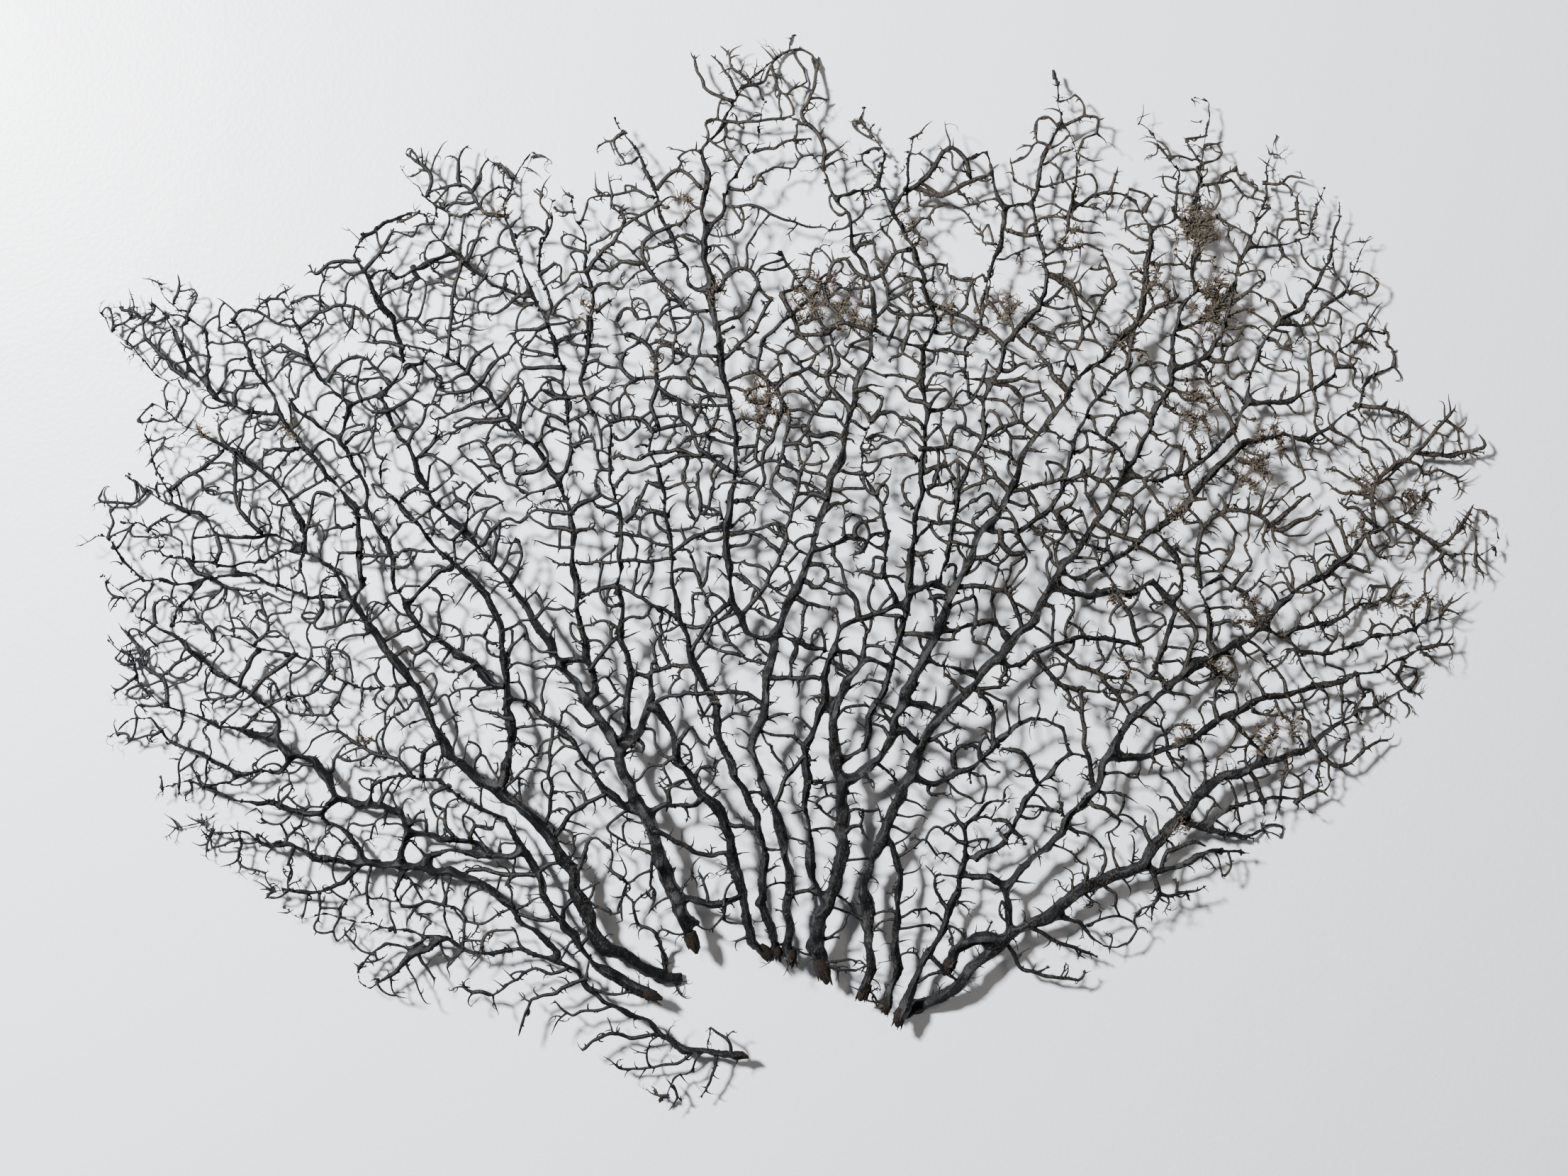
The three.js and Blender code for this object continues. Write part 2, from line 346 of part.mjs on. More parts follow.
// A path with a ring on each of its points, square to the bend there.
class RingPath extends THREE.Curve {
  constructor(points) {
    super();
    this.points = points;
  }

  getPointAt(share) {
    return this.points[Math.round(share * (this.points.length - 1))].clone();
  }

  getTangentAt(share) {
    const last = this.points.length - 1;
    const k = Math.round(share * last);
    return this.points[Math.min(k + 1, last)].clone().sub(this.points[Math.max(k - 1, 0)]).normalize();
  }
}

// A tapered rod along its line from share `start` to share `end`, thicker all round by `extra`.
function rodSolid({ line, radii, sides, start, end }, extra = 0) {
  const corner = (k) => {
    const turn = (2 * Math.PI * k) / sides;
    return new THREE.Vector2(Math.cos(turn), Math.sin(turn));
  };
  const section = new THREE.Shape(Array.from({ length: sides }, (_, k) => corner(k)));
  const margin = SHORT / line.getLength();
  const bends = line.getCurveLengths().map((length) => length / line.getLength());
  const shares = [start, ...bends.filter((share) => share > start + margin && share < end - margin), end];
  const path = new RingPath(shares.map((share) => line.getPoint(share)));
  const steps = shares.length - 1;
  const geometry = new THREE.ExtrudeGeometry(section, { steps, extrudePath: path, bevelEnabled: false });
  const position = geometry.attributes.position;
  const point = new THREE.Vector3();
  for (let i = 0; i < position.count; i += 1) {
    point.fromBufferAttribute(position, i);
    const spans = path.points.map((ring) => ring.distanceToSquared(point));
    const k = spans.indexOf(Math.min(...spans));
    const reach = radiusAt(radii, shares[k]) * cornerReach(sides) + extra / Math.cos(Math.PI / sides);
    point.sub(path.points[k]).multiplyScalar(reach).add(path.points[k]);
    position.setXYZ(i, point.x, point.y, point.z);
  }
  return toSolid(geometry);
}

function nearestOn(rods, point) {
  let best = { span: Infinity };
  for (const rod of rods) {
    rod.samples.forEach((spot, k) => {
      const span = Math.hypot(spot.x - point.x, spot.y - point.y);
      if (span < best.span) {
        best = { rod, spot, k, span };
      }
    });
  }
  return best;
}

function makeRod(node, radii, points) {
  const line = new THREE.CurvePath();
  for (let k = 1; k < points.length; k += 1) {
    line.add(new THREE.LineCurve3(points[k - 1], points[k]));
  }
  const sides = Math.max(...radii) >= THICK ? THICK_SIDES : THIN_SIDES;
  const count = Math.ceil(line.getLength());
  const samples = Array.from({ length: count + 1 }, (_, k) => line.getPoint(k / count));
  return { node, radii, sides, points, line, samples, start: 0, end: 1 };
}

// The share of the curve, counted from one end, at which the rod's whole section has come clear of the
// stem that it meets there.
function clearShare(rod, rival, fromEnd) {
  const count = Math.ceil(rod.line.getLength() / SEARCH_STEP);
  for (let i = 0; i <= count; i += 1) {
    const share = fromEnd ? 1 - i / count : i / count;
    const centre = rod.line.getPoint(share);
    const { spot, k } = nearestOn([rival], centre);
    const away = centre.clone().sub(spot);
    const span = away.length();
    const slope = span > 0 ? Math.abs(rod.line.getTangent(share).dot(away.clone().divideScalar(span))) : 0;
    const tilt = Math.sqrt(1 - Math.min(1, slope) ** 2);
    const ownReach = radiusAt(rod.radii, share) * cornerReach(rod.sides) * tilt;
    const rivalReach = radiusAt(rival.radii, k / (rival.samples.length - 1)) * cornerReach(rival.sides);
    if (span > ownReach + rivalReach + END_GAP) {
      return share;
    }
  }
  return fromEnd ? 1 : 0;
}

function lowerFoot(points, tip, radius) {
  for (const point of points) {
    const away = Math.min(1, Math.hypot(point.x - tip.x, point.y - tip.y) / FOOT_RUN);
    const lift = away * away * (3 - 2 * away);
    point.z = THREE.MathUtils.lerp(radius * FOOT_SINK, point.z, lift);
  }
}

function mainRod(plan, rods) {
  const points = plan.route.map(([x, y]) => new THREE.Vector3(x, y, relief(x, y)));
  if (plan.foot === "start" || plan.foot === "both") {
    lowerFoot(points, points[0], plan.radii[0]);
  }
  if (plan.foot === "end" || plan.foot === "both") {
    lowerFoot(points, points.at(-1), plan.radii.at(-1));
  }
  const parents = rods.filter((rod) => rod.node === plan.from);
  if (plan.from) {
    points[0].copy(nearestOn(parents, points[0]).spot);
  }
  const rod = makeRod(plan.name, plan.radii, points);
  if (plan.from) {
    rod.start = clearShare(rod, nearestOn(parents, points[0]).rod, false);
  }
  return rod;
}

function growOnto(points, rods) {
  const partner = nearestOn(rods, points.at(-1));
  if (partner.span < REACH) {
    points.at(-1).copy(partner.spot);
    return partner.rod;
  }
  return null;
}

function sideRod(name, side, index, rods) {
  const last = side.route.length - 1;
  const rise = TWIG_ARCH * (index % 2 ? -1 : 1);
  const points = side.route.map(([x, y], k) =>
    new THREE.Vector3(x, y, relief(x, y) + rise * Math.sin((Math.PI * k) / last)));
  const own = rods.filter((rod) => rod.node === name);
  points[0].copy(nearestOn(own, points[0]).spot);
  const partner = side.tied ? growOnto(points, rods.filter((rod) => rod.node !== name)) : null;
  const rod = makeRod(name, side.radii, points);
  if (partner) {
    rod.end = clearShare(rod, partner, true);
  }
  return rod;
}

const PLANS = [
  ...LOWER_LEFT, ...LEFT, ...CENTRE_LEFT, ...CENTRE, ...CENTRE_RIGHT, ...RIGHT, ...UPPER_RIGHT,
];

function growRods() {
  const rods = [];
  for (const plan of PLANS) {
    rods.push(mainRod(plan, rods));
  }
  for (const { name } of PLANS.filter(({ grows }) => grows)) {
    const index = rods.findIndex(({ node }) => node === name);
    const { points } = rods[index];
    const partner = growOnto(points, rods.filter(({ node }) => node !== name));
    const rod = { ...makeRod(name, rods[index].radii, points), start: rods[index].start };
    rod.end = partner ? clearShare(rod, partner, true) : 1;
    rods[index] = rod;
  }
  for (const plan of PLANS) {
    plan.sides.forEach((side, index) => rods.push(sideRod(plan.name, side, index, rods)));
  }
  return rods;
}

function near(first, second) {
  const grown = ({ samples, radii }) =>
    new THREE.Box3().setFromPoints(samples).expandByScalar(Math.max(...radii) + NEARBY);
  return grown(first).intersectsBox(grown(second));
}

// Each rod is cut back from every rod of another stem that was grown before it.
function cutRods(rods) {
  const room = new THREE.BoxGeometry(ROOM.width, ROOM.width, ROOM.height);
  const above = toSolid(room.translate(0, 0, ROOM.height / 2));
  const fat = rods.map((rod) => rodSolid(rod, GAP));
  return rods.map((rod, index) => {
    const rivals = fat.filter((_, k) => k < index && rods[k].node !== rod.node && near(rods[k], rod));
    const trimmed = rivals.reduce((solid, rival) => solid.subtract(rival), rodSolid(rod));
    return { node: rod.node, solid: trimmed.intersect(above) };
  });
}

// Black, slightly blue horny skeleton with a satin sheen.
const horn = () => new THREE.MeshStandardMaterial({ color: 0x23262b, roughness: 0.5, metalness: 0 });

const pieces = cutRods(growRods());
const fan = new THREE.Group();
for (const { name } of PLANS) {
  const own = pieces.filter(({ node }) => node === name).map(({ solid }) => solid);
  const body = own.reduce((sum, solid) => sum.add(solid));
  const mesh = new THREE.Mesh(toGeometry(body), horn());
  mesh.name = name;
  fan.add(mesh);
}

// The origin is the middle of the fan's box, on the surface that it lies on.
const box = new THREE.Box3().setFromObject(fan);
fan.position.set(-(box.min.x + box.max.x) / 2, -(box.min.y + box.max.y) / 2, -box.min.z);

export default fan;
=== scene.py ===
"""A dried sea fan lying on a pale board.

Fine, smooth stems stand for the faceted stems of the frame. Between them grows a net of twigs: first a
set of listed twigs, then thinner ones that grow into the open space. Clumps of old growth hang in
it. Plans are in millimetres, in the row's frame, and everything built is in metres.
"""

import json
import math
import random

import bmesh
import bpy
import numpy as np
from mathutils import Matrix, Vector, kdtree, noise as ripple
from mathutils.bvhtree import BVHTree

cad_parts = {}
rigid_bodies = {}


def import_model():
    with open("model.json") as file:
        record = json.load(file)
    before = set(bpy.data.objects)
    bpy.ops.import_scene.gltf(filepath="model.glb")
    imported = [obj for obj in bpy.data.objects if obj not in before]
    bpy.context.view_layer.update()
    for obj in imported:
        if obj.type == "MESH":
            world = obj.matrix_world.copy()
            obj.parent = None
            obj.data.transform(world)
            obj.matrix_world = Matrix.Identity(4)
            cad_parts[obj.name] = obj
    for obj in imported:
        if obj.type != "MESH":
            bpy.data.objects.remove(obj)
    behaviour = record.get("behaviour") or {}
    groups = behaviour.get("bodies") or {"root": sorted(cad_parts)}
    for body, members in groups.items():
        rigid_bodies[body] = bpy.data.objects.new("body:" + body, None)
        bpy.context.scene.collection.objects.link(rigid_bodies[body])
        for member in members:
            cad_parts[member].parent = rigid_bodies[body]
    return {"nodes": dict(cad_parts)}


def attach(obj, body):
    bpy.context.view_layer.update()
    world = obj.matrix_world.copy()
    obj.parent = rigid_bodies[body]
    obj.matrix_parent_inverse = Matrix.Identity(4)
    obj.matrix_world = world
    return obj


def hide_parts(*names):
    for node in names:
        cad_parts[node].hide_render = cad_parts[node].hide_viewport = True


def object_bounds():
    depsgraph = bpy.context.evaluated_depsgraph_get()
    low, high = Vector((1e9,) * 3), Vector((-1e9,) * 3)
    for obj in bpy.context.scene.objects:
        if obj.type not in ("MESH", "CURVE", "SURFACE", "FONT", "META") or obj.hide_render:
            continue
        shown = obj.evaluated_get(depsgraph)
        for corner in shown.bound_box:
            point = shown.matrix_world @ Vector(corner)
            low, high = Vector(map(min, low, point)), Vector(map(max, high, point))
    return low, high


MM = 0.001
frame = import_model()
cad_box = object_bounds()
SEED = 7
chance = random.Random(SEED)
ripple.seed_set(SEED)          # unseeded, noise_vector would differ from run to run

# ---- what stands where ----------------------------------------------------------------------------------
# The stems of each fine piece.
STEM_GROUPS = {
    "lower_left_stems": [
        "low_left_stem", "low_left_fork", "second_stem", "second_stem_riser", "second_stem_tip",
        "third_stem", "third_stem_fork", "left_outer_stem", "left_inner_stem"],
    "left_stems": [
        "left_cross_stem", "left_middle_stem", "left_upper_cross", "left_ridge_stem", "left_rising_stem",
        "upper_left_spray", "left_twin_stem", "left_crown_stem", "left_crown_fork"],
    "centre_left_stems": [
        "great_stem", "great_stem_left", "inner_left_stem", "centre_left_stem", "left_top_stem",
        "left_top_fork"],
    "centre_stems": [
        "thin_centre_stem", "slim_stem", "centre_stem", "centre_stem_top", "centre_stem_left",
        "top_crown_stem", "top_left_stem"],
    "centre_right_stems": [
        "broad_stem", "broad_stem_left", "bright_stem", "bright_stem_top", "diagonal_stem",
        "diagonal_stem_top", "upright_stem", "tall_top_stem", "high_arch_stem", "lattice_stem"],
    "long_stems": [
        "long_diagonal_stem", "long_diagonal_top", "right_root_stem", "right_lattice_stem",
        "low_lattice_stem", "upper_right_stem", "upper_right_riser", "far_top_stem", "top_right_tuft"],
    "right_stems": [
        "right_big_arm", "low_right_spray", "low_right_stem", "v_stem", "right_middle_stem",
        "right_upper_tip", "right_long_stem", "right_fan_stem", "right_arch_stem", "hoop_stem"],
}

# Twigs given one by one: whether the far end joins a neighbour, the radius at each end, and the route.
TWIGS = [
    (False, 1.1, 0.7, (-249, -113), (-251, -117), (-252, -121)),
    (False, 1.5, 1, (-269, -60), (-268, -52), (-271, -47), (-264, -42), (-257, -38)),
    (False, 1.2, 0.8, (-271, -48), (-278, -43), (-283, -34), (-289, -27)),
    (False, 1.1, 0.8, (-282, -48), (-288, -53), (-292, -52)),
    (False, 1.1, 0.8, (-259, -35), (-254, -41), (-255, -46)),
    (False, 1.2, 0.8, (-249, -6), (-242, -10), (-235, -11), (-228, -10)),
    (True, 1.6, 1.5, (-249, -5), (-256, -2), (-259, 1)),
    (True, 1.6, 1.5, (-246, 1), (-246, 7), (-248, 12)),
    (False, 1.1, 0.7, (-291, 11), (-291, 18), (-292, 25)),
    (False, 1.1, 0.7, (-275, 16), (-270, 20), (-265, 22)),
    (True, 1.5, 1.2, (-267, 31), (-257, 39), (-248, 45), (-243, 50)),
    (False, 1.1, 0.8, (-279, 31), (-283, 27), (-296, 27), (-298, 31)),
    (False, 1.2, 0.8, (-243, 51), (-235, 44), (-230, 40)),
    (False, 1.6, 1.2, (-261, 80), (-267, 85), (-273, 92), (-278, 97)),
    (False, 1.1, 0.7, (-288, 109), (-283, 108), (-278, 105), (-273, 104), (-269, 106)),
    (False, 1.1, 0.8, (-265, 111), (-263, 117), (-264, 124)),
    (False, 1.1, 0.7, (-203, -139), (-203, -149)),
    (False, 1.2, 0.8, (-182, -127), (-182, -138), (-180, -149)),
    (False, 1.1, 0.7, (-238, -113), (-237, -119), (-238, -125)),
    (False, 1.2, 0.8, (-235, -53), (-242, -56), (-252, -57)),
    (False, 1.2, 0.8, (-191, -50), (-195, -57), (-199, -63), (-212, -63)),
    (False, 1.2, 0.8, (-199, -46), (-205, -53), (-215, -56)),
    (True, 1.6, 1.5, (-213, -38), (-219, -43), (-227, -48), (-230, -55)),
    (True, 1.6, 1.5, (-229, -36), (-234, -43), (-237, -50)),
    (False, 1.2, 1, (-230, -33), (-225, -27), (-227, -20), (-228, -13)),
    (False, 1.4, 1, (-211, 13), (-206, 24), (-203, 31), (-195, 28)),
    (True, 1.5, 1.2, (-227, 13), (-235, 21), (-238, 31), (-238, 47)),
    (False, 1.2, 0.8, (-215, 28), (-208, 32), (-200, 37)),
    (False, 1.4, 1, (-207, 47), (-203, 51), (-199, 54)),
    (False, 1.4, 1, (-208, 89), (-220, 93), (-227, 89)),
    (False, 1.4, 1, (-212, 100), (-202, 107), (-193, 111), (-185, 108)),
    (False, 1.2, 0.8, (-238, 104), (-234, 109), (-222, 103), (-214, 101)),
    (False, 1.1, 0.7, (-226, 112), (-218, 113)),
    (False, 1.4, 1, (-183, 124), (-178, 131), (-171, 143)),
    (False, 1.4, 1, (-187, 130), (-196, 128), (-205, 124), (-207, 128)),
    (False, 1.1, 0.7, (-135, -164), (-133, -158), (-129, -156), (-120, -154)),
    (False, 1.1, 0.7, (-142, -160), (-141, -152), (-132, -151), (-123, -146)),
    (False, 1.1, 0.7, (-163, -145), (-166, -150), (-166, -155)),
    (False, 1.1, 0.7, (-122, -94), (-117, -87), (-111, -80), (-107, -79)),
    (False, 1.5, 1.1, (-162, -89), (-169, -83), (-179, -80), (-188, -75), (-195, -70)),
    (True, 1.5, 1.4, (-152, -76), (-158, -79), (-159, -87)),
    (True, 1.5, 1.2, (-171, -39), (-165, -35), (-161, -37), (-154, -35)),
    (True, 1.5, 1.2, (-176, -32), (-172, -30), (-165, -27), (-160, -25)),
    (False, 1.1, 0.7, (-123, -27), (-117, -24), (-111, -23)),
    (True, 1.2, 1.1, (-171, 4), (-178, 4), (-185, 4)),
    (True, 1.6, 1.5, (-169, 27), (-162, 32), (-157, 31)),
    (False, 1.2, 0.8, (-171, 102), (-165, 105), (-157, 100), (-150, 94)),
    (True, 1.4, 1.1, (-143, 130), (-146, 112), (-147, 100), (-147, 88)),
    (False, 1.2, 1, (-124, 147), (-133, 150), (-141, 161), (-152, 160)),
    (False, 1.4, 1, (-157, 157), (-156, 166), (-165, 174)),
    (False, 1.2, 0.8, (-79, -186), (-88, -189), (-97, -190), (-103, -184)),
    (False, 1.1, 0.7, (-87, -179), (-79, -182), (-69, -181), (-61, -184)),
    (False, 1.5, 0.8, (-91, -176), (-104, -181), (-113, -185), (-118, -199)),
    (False, 1.2, 0.8, (-97, -171), (-104, -173), (-111, -171), (-120, -176), (-129, -182)),
    (True, 1.2, 1.1, (-90, -161), (-88, -155), (-89, -149)),
    (True, 1.6, 1.4, (-100, -151), (-97, -143), (-93, -139)),
    (True, 1.5, 1.2, (-102, -150), (-111, -149), (-118, -147)),
    (False, 1.1, 0.7, (-116, -144), (-108, -140)),
    (True, 1.4, 1.1, (-111, -131), (-105, -127), (-97, -126)),
    (True, 1.5, 1.4, (-111, -131), (-126, -130), (-138, -129), (-141, -131)),
    (False, 1.1, 0.7, (-75, -131), (-72, -134), (-75, -141), (-74, -150)),
    (False, 1.1, 0.7, (-68, -127), (-62, -133), (-60, -138), (-63, -147)),
    (True, 1.6, 1.4, (-102, -117), (-97, -106), (-90, -101), (-81, -97)),
    (True, 1.4, 1.1, (-107, -112), (-104, -100), (-105, -85), (-105, -70)),
    (False, 1.1, 0.7, (-120, -70), (-111, -67), (-104, -68)),
    (True, 1.6, 1.5, (-86, -42), (-79, -32), (-75, -30)),
    (True, 1.2, 1.1, (-74, -9), (-65, -14), (-51, -21)),
    (True, 1.2, 1.1, (-93, 2), (-83, 1), (-76, 2)),
    (True, 1.2, 1.1, (-75, 2), (-64, 2), (-53, 2)),
    (True, 1.6, 1.4, (-79, 60), (-69, 62), (-60, 56)),
    (False, 1.1, 0.7, (-96, 60), (-88, 65)),
    (False, 1.6, 1.2, (-88, 124), (-84, 131), (-77, 138), (-73, 145)),
    (True, 1.4, 1.2, (-61, 160), (-51, 167), (-39, 160)),
    (False, 1.2, 0.8, (-34, -207), (-36, -214), (-39, -223)),
    (False, 1.2, 0.8, (-46, -206), (-53, -212), (-70, -214)),
    (False, 1.2, 0.8, (-29, -206), (-30, -200), (-37, -196)),
    (False, 1.4, 1, (-59, -199), (-71, -200), (-80, -198), (-91, -205)),
    (False, 1.6, 1, (-56, -176), (-58, -164), (-60, -155), (-67, -153), (-69, -146)),
    (False, 1.1, 0.7, (-37, -140), (-39, -134), (-42, -129)),
    (False, 1.1, 0.7, (-49, -139), (-47, -133), (-43, -125), (-41, -123)),
    (True, 1.4, 1.2, (-4, -137), (1, -138), (6, -136)),
    (False, 1.1, 0.7, (-13, -129), (-7, -127)),
    (False, 1.1, 0.7, (-14, -120), (-8, -120)),
    (True, 1.6, 1.4, (-60, -112), (-47, -118), (-40, -122), (-28, -122)),
    (True, 1.4, 1.2, (-28, -110), (-23, -110), (-17, -112)),
    (True, 1.5, 1.4, (-10, -100), (-5, -89), (1, -81)),
    (True, 1.5, 1.4, (-15, -59), (-24, -53), (-34, -52)),
    (True, 1.4, 1.2, (-35, -54), (-47, -54), (-55, -55), (-60, -58)),
    (True, 1.6, 1.5, (-12, -48), (0, -47), (10, -48)),
    (True, 1.5, 1.4, (-41, -44), (-51, -42), (-60, -43)),
    (False, 1.1, 0.7, (-12, -42), (-19, -40), (-26, -36), (-31, -28), (-35, -21), (-41, -9)),
    (True, 1.5, 1.4, (-49, -25), (-41, -26), (-33, -24), (-27, -17)),
    (False, 1.5, 1.1, (-24, -21), (-14, -9), (-7, 5), (-2, 24), (1, 39)),
    (True, 1.6, 1.5, (-28, -15), (-35, -21), (-43, -35)),
    (False, 1.1, 0.7, (-11, -9), (-4, -13)),
    (True, 1.4, 1.2, (-52, 4), (-45, 10), (-37, 15), (-30, 16)),
    (False, 1.1, 0.7, (-3, 11), (5, 4)),
    (False, 1.1, 0.7, (-53, 14), (-46, 15), (-41, 22)),
    (True, 1.4, 1.2, (-59, 42), (-47, 46), (-37, 45), (-28, 40)),
    (False, 1.5, 1.1, (-31, 85), (-19, 99), (-11, 112)),
    (False, 1.4, 1.1, (-56, 142), (-65, 136), (-61, 122), (-47, 109)),
    (False, 1.1, 0.7, (-29, 151), (-15, 151), (-9, 147), (5, 143)),
    (False, 1.2, 0.8, (-58, 152), (-69, 146), (-88, 135)),
    (False, 1.2, 0.8, (-59, 155), (-72, 158), (-85, 156)),
    (False, 1.1, 0.7, (-28, 157), (-21, 158), (-16, 165), (-10, 168), (-2, 168)),
    (False, 1.2, 0.8, (-19, 177), (-7, 178), (6, 181)),
    (False, 1.2, 0.8, (-25, 187), (-13, 188), (-1, 191)),
    (False, 1.4, 1, (-26, 197), (-39, 202), (-44, 217)),
    (False, 1.2, 0.8, (-26, 199), (-30, 210), (-37, 217)),
    (False, 1.1, 0.7, (-24, 204), (-15, 206), (-11, 214), (-7, 219), (1, 221), (6, 219)),
    (False, 1.1, 0.7, (-21, 206), (-26, 211), (-30, 218), (-33, 221)),
    (False, 1.1, 0.7, (-11, 213), (-7, 201), (0, 204), (4, 207)),
    (False, 1.1, 0.7, (51, -176), (61, -172), (68, -176)),
    (False, 1.6, 1.1, (56, -163), (61, -170), (68, -176)),
    (True, 1.6, 1.5, (35, -57), (41, -62), (43, -64)),
    (True, 1.6, 1.5, (22, -46), (15, -42)),
    (True, 1.6, 1.5, (43, -29), (50, -29), (56, -30)),
    (True, 1.6, 1.4, (53, 48), (63, 50), (67, 58), (76, 54)),
    (False, 1.6, 1.4, (46, 158), (55, 164), (63, 177), (71, 172), (73, 164)),
    (False, 1.6, 1.4, (49, 160), (61, 157), (73, 163), (81, 165)),
    (False, 1.5, 1.1, (10, 167), (10, 181), (1, 191), (6, 200), (9, 218)),
    (False, 1.5, 1, (86, -158), (91, -164), (99, -172), (119, -176)),
    (False, 1.5, 1.1, (98, -152), (109, -159), (125, -165)),
    (False, 1.6, 1.5, (101, -93), (95, -80), (86, -77)),
    (False, 1.6, 1.5, (102, -39), (109, -49), (119, -53)),
    (False, 1.5, 1.4, (107, -35), (117, -42), (128, -47), (137, -58)),
    (True, 1.6, 1.5, (67, -8), (78, -9), (89, -13), (92, -22)),
    (True, 1.4, 1.2, (66, 19), (58, 18), (50, 19)),
    (True, 1.4, 1.2, (91, 30), (105, 35), (113, 36)),
    (True, 1.6, 1.5, (112, 34), (120, 38), (129, 35), (134, 30)),
    (True, 1.5, 1.4, (99, 55), (92, 60), (80, 53)),
    (False, 1.6, 1.1, (106, 122), (115, 117), (119, 108), (120, 98)),
    (False, 1.1, 0.7, (113, 188), (123, 191), (128, 189), (127, 183), (121, 181), (119, 175)),
    (False, 1.5, 1.2, (155, -130), (157, -121), (167, -117), (173, -119)),
    (False, 1.4, 1, (149, -130), (154, -139), (166, -138)),
    (True, 1.5, 1.4, (123, -94), (121, -75), (121, -53)),
    (False, 1.1, 0.7, (138, -47), (135, -58), (133, -64)),
    (True, 1.6, 1.5, (164, -44), (166, -34), (168, -27), (162, -20)),
    (False, 1.6, 1.5, (135, -14), (140, -22), (144, -33)),
    (False, 1.5, 1.4, (170, -9), (168, 3), (170, 14), (179, 23), (193, 22), (202, 15)),
    (True, 1.6, 1.5, (126, 18), (136, 12), (144, 9)),
    (True, 1.6, 1.5, (164, 38), (165, 32), (166, 28)),
    (False, 1.1, 0.7, (141, 76), (139, 84), (140, 91), (143, 98)),
    (False, 1.6, 1.4, (144, 102), (152, 109), (161, 114)),
    (False, 1.1, 0.7, (171, 161), (183, 163), (190, 157), (197, 155)),
    (False, 1.1, 0.7, (172, 179), (181, 180)),
    (False, 1.1, 0.7, (165, 181), (172, 182)),
    (False, 1.1, 0.7, (167, 189), (172, 188)),
    (False, 1.5, 1.1, (212, -99), (221, -96), (225, -98)),
    (True, 1.6, 1.5, (197, -99), (194, -92), (191, -86)),
    (False, 1.5, 1.1, (218, -76), (226, -84), (232, -85), (239, -80)),
    (False, 1.5, 1.1, (237, 69), (251, 66), (258, 64), (265, 58)),
    (False, 1.1, 0.7, (212, 153), (214, 141), (217, 141)),
    (False, 1.1, 0.7, (199, 163), (205, 162), (211, 166), (216, 164)),
    (False, 1.1, 0.7, (187, 170), (190, 164), (196, 160)),
    (True, 1.4, 1.2, (257, -40), (258, -49), (262, -52)),
    (False, 1.4, 1.1, (264, -35), (270, -34), (279, -33)),
    (False, 1.5, 1.1, (244, 16), (244, 33), (253, 42), (263, 48), (273, 59), (278, 65)),
    (False, 1.4, 1.1, (252, 19), (264, 14), (272, 9), (282, 17), (288, 25)),
    (False, 1.1, 0.7, (292, 23), (288, 25)),
    (False, 1.1, 0.7, (257, 44), (263, 43), (267, 39), (274, 40), (280, 38), (283, 33)),
    (False, 1.5, 1.1, (263, 48), (276, 47), (292, 50), (290, 56)),
    (False, 1.1, 0.7, (278, 60), (280, 58), (283, 48)),
    (False, 1.1, 0.7, (259, 60), (260, 50)),
    (True, 1.5, 1.3, (-71, 97), (-67, 95), (-63, 92), (-60, 85), (-59, 78), (-55, 73), (-51, 68),
     (-49, 62), (-45, 57), (-43, 51), (-39, 47), (-33, 42), (-27, 40)),
    (False, 1.1, 0.8, (-41, 104), (-45, 107), (-49, 110), (-54, 112), (-57, 116), (-59, 120),
     (-64, 125), (-66, 128)),
    (False, 1.1, 0.8, (-49, 110), (-54, 107), (-58, 104), (-62, 104), (-67, 104)),
    (False, 1.0, 0.9, (-55, 114), (-54, 110), (-53, 105), (-52, 99), (-52, 91), (-53, 85),
     (-56, 82), (-59, 81)),
    (True, 1.2, 1.0, (-33, 88), (-39, 88), (-44, 88), (-48, 89), (-52, 90)),
    (True, 1.3, 1.2, (-60, 57), (-54, 58), (-48, 59), (-45, 58), (-42, 62), (-41, 66), (-39, 71),
     (-34, 71)),
    (True, 1.2, 1.1, (-34, 72), (-39, 73), (-43, 75), (-46, 78), (-50, 79), (-54, 79), (-58, 78),
     (-62, 75)),
    (True, 1.0, 0.9, (-31, 67), (-36, 67), (-40, 68), (-45, 68), (-51, 69), (-54, 70), (-59, 72)),
    (True, 1.5, 1.3, (-62, 75), (-61, 69), (-60, 62), (-59, 58)),
    (True, 1.3, 1.1, (-69, 78), (-65, 79), (-61, 79)),
    (True, 1.4, 1.2, (-56, 49), (-49, 48), (-43, 46), (-39, 47)),
    (True, 1.0, 0.8, (-51, 50), (-47, 53), (-42, 54), (-38, 54)),
    (True, 1.1, 1.0, (-39, 51), (-37, 56), (-34, 62), (-33, 67)),
    (True, 1.1, 0.9, (-37, 57), (-32, 56), (-27, 53), (-23, 47)),
    (True, 1.1, 1.0, (-27, 74), (-21, 74), (-15, 75)),
    (True, 1.5, 1.3, (-17, 81), (-12, 77), (-8, 73), (-7, 67), (-8, 62), (-10, 57), (-11, 53),
     (-14, 48), (-15, 42)),
    (True, 1.2, 1.1, (-13, 76), (-12, 71), (-13, 64), (-15, 59), (-17, 53), (-18, 45), (-15, 42)),
    (True, 1.3, 1.1, (-4, 70), (-4, 64), (-4, 59), (-5, 54), (-6, 48), (-8, 42)),
    (False, 1.4, 0.8, (-5, 51), (0, 51), (4, 49), (9, 51), (13, 45)),
    (True, 1.2, 1.1, (-3, 105), (-7, 102), (-11, 98), (-15, 94), (-16, 88), (-17, 82), (-20, 81),
     (-24, 80), (-29, 78)),
